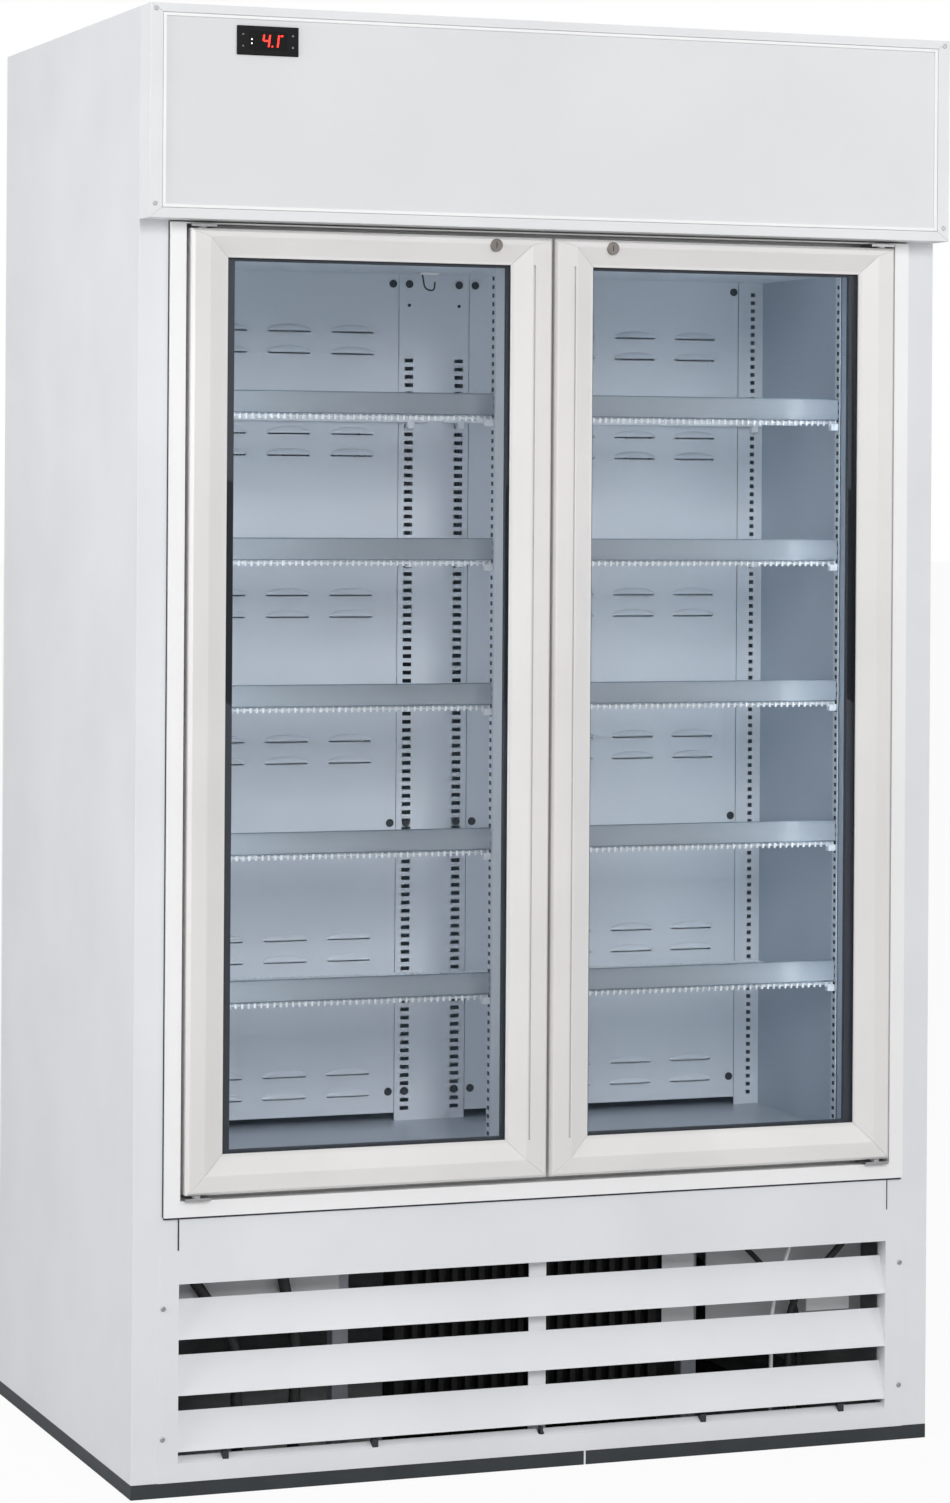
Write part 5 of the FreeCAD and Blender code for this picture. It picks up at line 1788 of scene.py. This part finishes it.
@dataclass
class Shelving:
    """Coated wire shelves with clear guards, on clips."""

    tiers: int = 5
    wire: float = 2 * MM
    wire_bend: float = 3 * MM
    pitch: float = 9.5 * MM
    cross: float = 2.4 * MM
    cross_steps: int = 2
    tip: float = 9 * MM
    guard_edge: float = 1.6 * MM
    guard_round: float = 0.3 * MM
    clip_round: float = 1 * MM

    def build(self) -> None:
        """Model one shelf for each side, copy it to every tier, and dress guards and clips."""
        for label in SIDES:
            pattern = self.shelf(f"{label}_shelf_1")
            base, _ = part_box(f"{label}_shelf_1")
            for tier in range(1, self.tiers + 1):
                node = f"{label}_shelf_{tier}"
                low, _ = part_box(node)
                piece = Bench.copied(pattern, f"{label}_wire_shelf_{tier}", low - base)
                settle(piece, Finish.WIRE, nodes=[node])
            bpy.data.objects.remove(pattern)
        self.guards()
        refine("shelf_clips", "hook_clips", self.clip_round, Finish.WIRE)

    def guards(self) -> None:
        """Stand a clear plate with dark polished edges on the front of every shelf."""
        first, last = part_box("shelf_guards")
        plates, edges = [], []
        base, top = (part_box(f"left_shelf_{tier}")[0].z for tier in (1, self.tiers))
        tall, edge = last.z - first.z - (top - base), self.guard_edge
        for label in SIDES:
            for tier in range(1, self.tiers + 1):
                name = f"{label}_guard_{tier}"
                low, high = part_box(f"{label}_shelf_{tier}")
                foot = first.z + low.z - base
                upper = foot + tall - edge
                plates.append(Bench.block(name, (low.x, first.y, foot + edge), (high.x, last.y, upper)))
                for start in (foot, upper):
                    strip = Bench.block(f"{name}_edge", (low.x, first.y, start),
                                        (high.x, last.y, start + edge))
                    edges.append(Bench.soften(strip, self.guard_round))
        settle(Bench.joined("clear_guards", plates), Finish.GUARD, nodes=["shelf_guards"])
        settle(Bench.joined("guard_edges", edges), Finish.GUARD_EDGE)

    def shelf(self, node: str) -> Piece:
        """Model a shelf of close wires turned down at the front.

        Args:
            node: The CAD shelf that gives its place.

        Returns:
            The shelf.
        """
        low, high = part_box(node)
        start, breadth = low.x + self.wire, high.x - low.x - 2 * self.wire
        top, front, rear = high.z - self.wire, low.y + self.wire, high.y - self.wire
        gaps = round(breadth / self.pitch)
        points = [(start, rear, top), (start, front, top), (start, front, top - self.tip)]
        wire = Bench.tube("shelf_wire", points, self.wire, self.wire_bend)
        wires = Bench.repeated(wire, gaps + 1, (breadth / gaps, 0, 0))
        level = top - self.wire - self.cross
        ys = (low.y + 2 * self.wire + self.cross, (low.y + high.y) / 2, high.y - self.cross)
        rods = [Bench.tube(f"cross_{index}", [(low.x, y, level), (high.x, y, level)], self.cross,
                           steps=self.cross_steps)
                for index, y in enumerate(ys)]
        return Bench.joined(f"{node}_pattern", [wires, *rods])


@dataclass
class FrontGrille:
    """Louvred front grille with its clips, seams and screws, and the posts behind it."""

    ledge_reach: float = 12 * MM
    ledge_top: float = 57.4 * MM
    ledge_edge: float = 2 * MM
    ledge_gap: float = 4.5 * MM
    clips: tuple[Span, ...] = ((-465 * MM, 9 * MM), (-248 * MM, 9 * MM), (0, 4 * MM), (248 * MM, 9 * MM),
                               (465 * MM, 9 * MM))
    clip_depths: Span = (2 * MM, 12 * MM)
    clip_levels: Span = (45 * MM, 58 * MM)
    clip_round: float = 0.8 * MM
    seam: Span = (534 * MM, 536 * MM)
    seam_depths: Span = (0.3 * MM, 1.2 * MM)
    seam_levels: Span = (336 * MM, 379 * MM)
    seam_round: float = 0.2 * MM
    screw_x: float = 556 * MM
    screw_levels: Span = (80 * MM, 258 * MM)
    post_round: float = 1 * MM

    def build(self) -> None:
        """Model and dress the grille."""
        low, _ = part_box("louvre_grille")
        piece = Bench.traced("louvre_grille", "blade_grille")
        with Bench.editing(piece):
            Bench.choose(piece, "VERT", lambda vert: vert.co.y > low.y + self.ledge_reach
                         and abs(vert.co.z - self.ledge_top) < self.ledge_edge)
            bpy.ops.transform.translate(value=(0, 0, -self.ledge_gap))
        settle(piece, Finish.SHELL, nodes=["louvre_grille"])
        seams = [sorted(side * x for x in self.seam) for side in SIDES.values()]
        self.strips("band_seams", seams, low.y, self.seam_depths, self.seam_levels, self.seam_round,
                    Finish.SPACER, "gasket")
        clips = [(x - wide / 2, x + wide / 2) for x, wide in self.clips]
        self.strips("ledge_clips", clips, low.y, self.clip_depths, self.clip_levels, self.clip_round,
                    Finish.PLUG, "thermostat_black")
        places = [(side * self.screw_x, low.y, z) for side in SIDES.values() for z in self.screw_levels]
        settle(Screw().row("grille_screws", places), Finish.STEEL)
        refine("deck_posts", "machine_posts", self.post_round, Finish.POST)

    @staticmethod
    def strips(name: str, spans: Sequence[Span], face: float, depths: Span, levels: Span, width: float,
               finish: Finish, slot: str) -> None:
        """Set a row of small blocks in the grille as one piece.

        Args:
            name: The piece's name.
            spans: Each block's span across.
            face: Y of the grille's front.
            depths: Where they start and end behind the front.
            levels: Their span upwards.
            width: Width of each rounded edge.
            finish: The finish that they get.
            slot: Not used.
        """
        blocks = [Bench.block(f"{name}_{index}", (near, face + depths[0], levels[0]),
                              (far, face + depths[1], levels[1])) for index, (near, far) in enumerate(spans)]
        settle(Bench.joined(name, [Bench.soften(block, width) for block in blocks]), finish)


@dataclass(frozen=True)
class Baffle:
    """A sheet that hangs from the machine deck: its spans across and in depth, and its foot."""

    name: str
    x: Span
    y: Span
    foot: float


@dataclass(frozen=True)
class Run:
    """A pipe or conduit with two bends, and its X in millimetres from the machine deck down to the tray."""

    name: str
    finish: Finish
    slot: str
    radius: float
    y: float
    xs_mm: tuple[float, ...]


def route(start: Point, *moves: tuple[str, float]) -> list[Vector]:
    """Give the corners of a path that runs along the axes.

    Args:
        start: Its first point.
        moves: For each next corner, the axis that the path runs along and the place that it reaches.

    Returns:
        The corners.
    """
    points = [Vector(start)]
    for axis, place in moves:
        points.append(points[-1].copy())
        setattr(points[-1], axis, place)
    return points


@dataclass
class Machinery:
    """Condenser, compressor and fans behind the grille, with their pipes, sheets and switch box."""

    pipe: float = 4 * MM
    pipe_bend: float = 18 * MM
    pipe_lap: float = 1 * MM
    pipe_back: float = 15 * MM
    supply_shift: float = 20 * MM
    supply_sunk: float = 2 * MM
    supply_rise: float = 45 * MM
    supply_gap: float = 40 * MM
    return_level: float = 30 * MM
    return_gaps: Span = (30 * MM, 110 * MM)
    return_back: float = 120 * MM
    return_top: float = 364 * MM
    baffles: tuple[Baffle, ...] = (
        Baffle("left_baffle", x=(-533 * MM, -285 * MM), y=(-286 * MM, -284.8 * MM), foot=235 * MM),
        Baffle("coil_baffle", x=(203 * MM, 253 * MM), y=(-290 * MM, -288.8 * MM), foot=170 * MM),
        Baffle("right_baffle", x=(285 * MM, 533 * MM), y=(-260 * MM, -258.8 * MM), foot=160 * MM))
    baffle_round: float = 0.3 * MM
    box_low: Point = (430 * MM, -292 * MM, 185 * MM)
    box_high: Point = (500 * MM, -260 * MM, 240 * MM)
    box_round: float = 2 * MM
    box_faces: int = 3
    runs: tuple[Run, ...] = (
        Run("lagged_pipe_a", Finish.RUBBER, "machine_black", 8 * MM, -299 * MM, (-530, -510, -440, -436)),
        Run("lagged_pipe_b", Finish.RUBBER, "machine_black", 8 * MM, -299 * MM, (-352, -376, -352, -356)),
        Run("conduit_a", Finish.RUBBER, "machine_black", 4 * MM, -280 * MM, (300, 320, 420, 426)),
        Run("conduit_b", Finish.SURROUND, "surround_white", 3 * MM, -300 * MM, (420, 405, 372, 370)),
        Run("conduit_c", Finish.RUBBER, "machine_black", 5 * MM, -300 * MM, (520, 500, 400, 396)))
    run_bends: Span = (300 * MM, 200 * MM)
    run_bend: float = 25 * MM
    steps: int = 3

    def build(self) -> None:
        """Model and dress the machinery."""
        dress(Finish.CONDENSER, "condenser_coil")
        dress(Finish.EVAPORATOR, "evaporator_coil")
        dress(Finish.BLACK, "condenser_shroud", "condenser_fan_motor", "evaporator_fan_motor")
        dress(Finish.FAN, "condenser_fan", "evaporator_fan")
        can = Bench.smooth(Bench.traced("compressor", "compressor_can"), TURNED_ANGLE)
        settle(can, Finish.BLACK, nodes=["compressor"])
        self.pipes()
        self.sheets()

    def pipes(self) -> None:
        """Run the copper pipes between the compressor and the condenser."""
        can_low, can_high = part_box("compressor")
        coil_low, coil_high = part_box("condenser_coil")
        middle, crown = (can_low + can_high) / 2, can_high.z - self.supply_sunk
        back = coil_high.y - self.pipe_back
        supply = route((middle.x - self.supply_shift, middle.y, crown), ("z", crown + self.supply_rise),
                       ("x", coil_high.x + self.supply_gap), ("y", back), ("z", crown),
                       ("x", coil_high.x - self.pipe_lap))
        near, far = (coil_low.x - gap for gap in self.return_gaps)
        drain = route((coil_low.x + self.pipe_lap, back, coil_low.z + self.return_level), ("x", near),
                      ("y", back + self.return_back), ("z", crown), ("x", far), ("z", self.return_top))
        for name, points in (("supply_pipe", supply), ("return_pipe", drain)):
            pipe = Bench.tube(name, points, self.pipe, self.pipe_bend, self.steps)
            settle(pipe, Finish.COPPER)

    def sheets(self) -> None:
        """Hang the grey sheets beside the condenser, with the switch box, pipes and conduits before them."""
        _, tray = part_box("base_tray")
        deck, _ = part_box("machine_deck")
        for baffle in self.baffles:
            sheet = Bench.block(baffle.name, (baffle.x[0], baffle.y[0], baffle.foot),
                                (baffle.x[1], baffle.y[1], deck.z))
            settle(Bench.soften(sheet, self.baffle_round), Finish.BAFFLE)
        box = Bench.block("switch_box", self.box_low, self.box_high)
        settle(Bench.soften(box, self.box_round, self.box_faces), Finish.SURROUND)
        for run in self.runs:
            points = [(x * MM, run.y, z) for x, z in zip(run.xs_mm, (deck.z, *self.run_bends, tray.z))]
            settle(Bench.tube(run.name, points, run.radius, self.run_bend, self.steps), run.finish)


def main() -> None:
    """Build the cooler's sub-assemblies in order."""
    logging.basicConfig(level=logging.INFO, format="%(name)s: %(message)s")
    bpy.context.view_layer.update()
    bpy.context.scene.view_settings.view_transform = "Standard"
    Studio().build()
    assemblies = [Cabinet(), Canopy(), Thermostat(), Surround(), *(GlassDoor(label) for label in SIDES),
                  AirDuct(), Standards(), InnerTrim(), Shelving(), FrontGrille(), Machinery()]
    for assembly in assemblies:
        assembly.build()
        LOG.info("%s done", type(assembly).__name__)


if __name__ == "__main__":
    main()
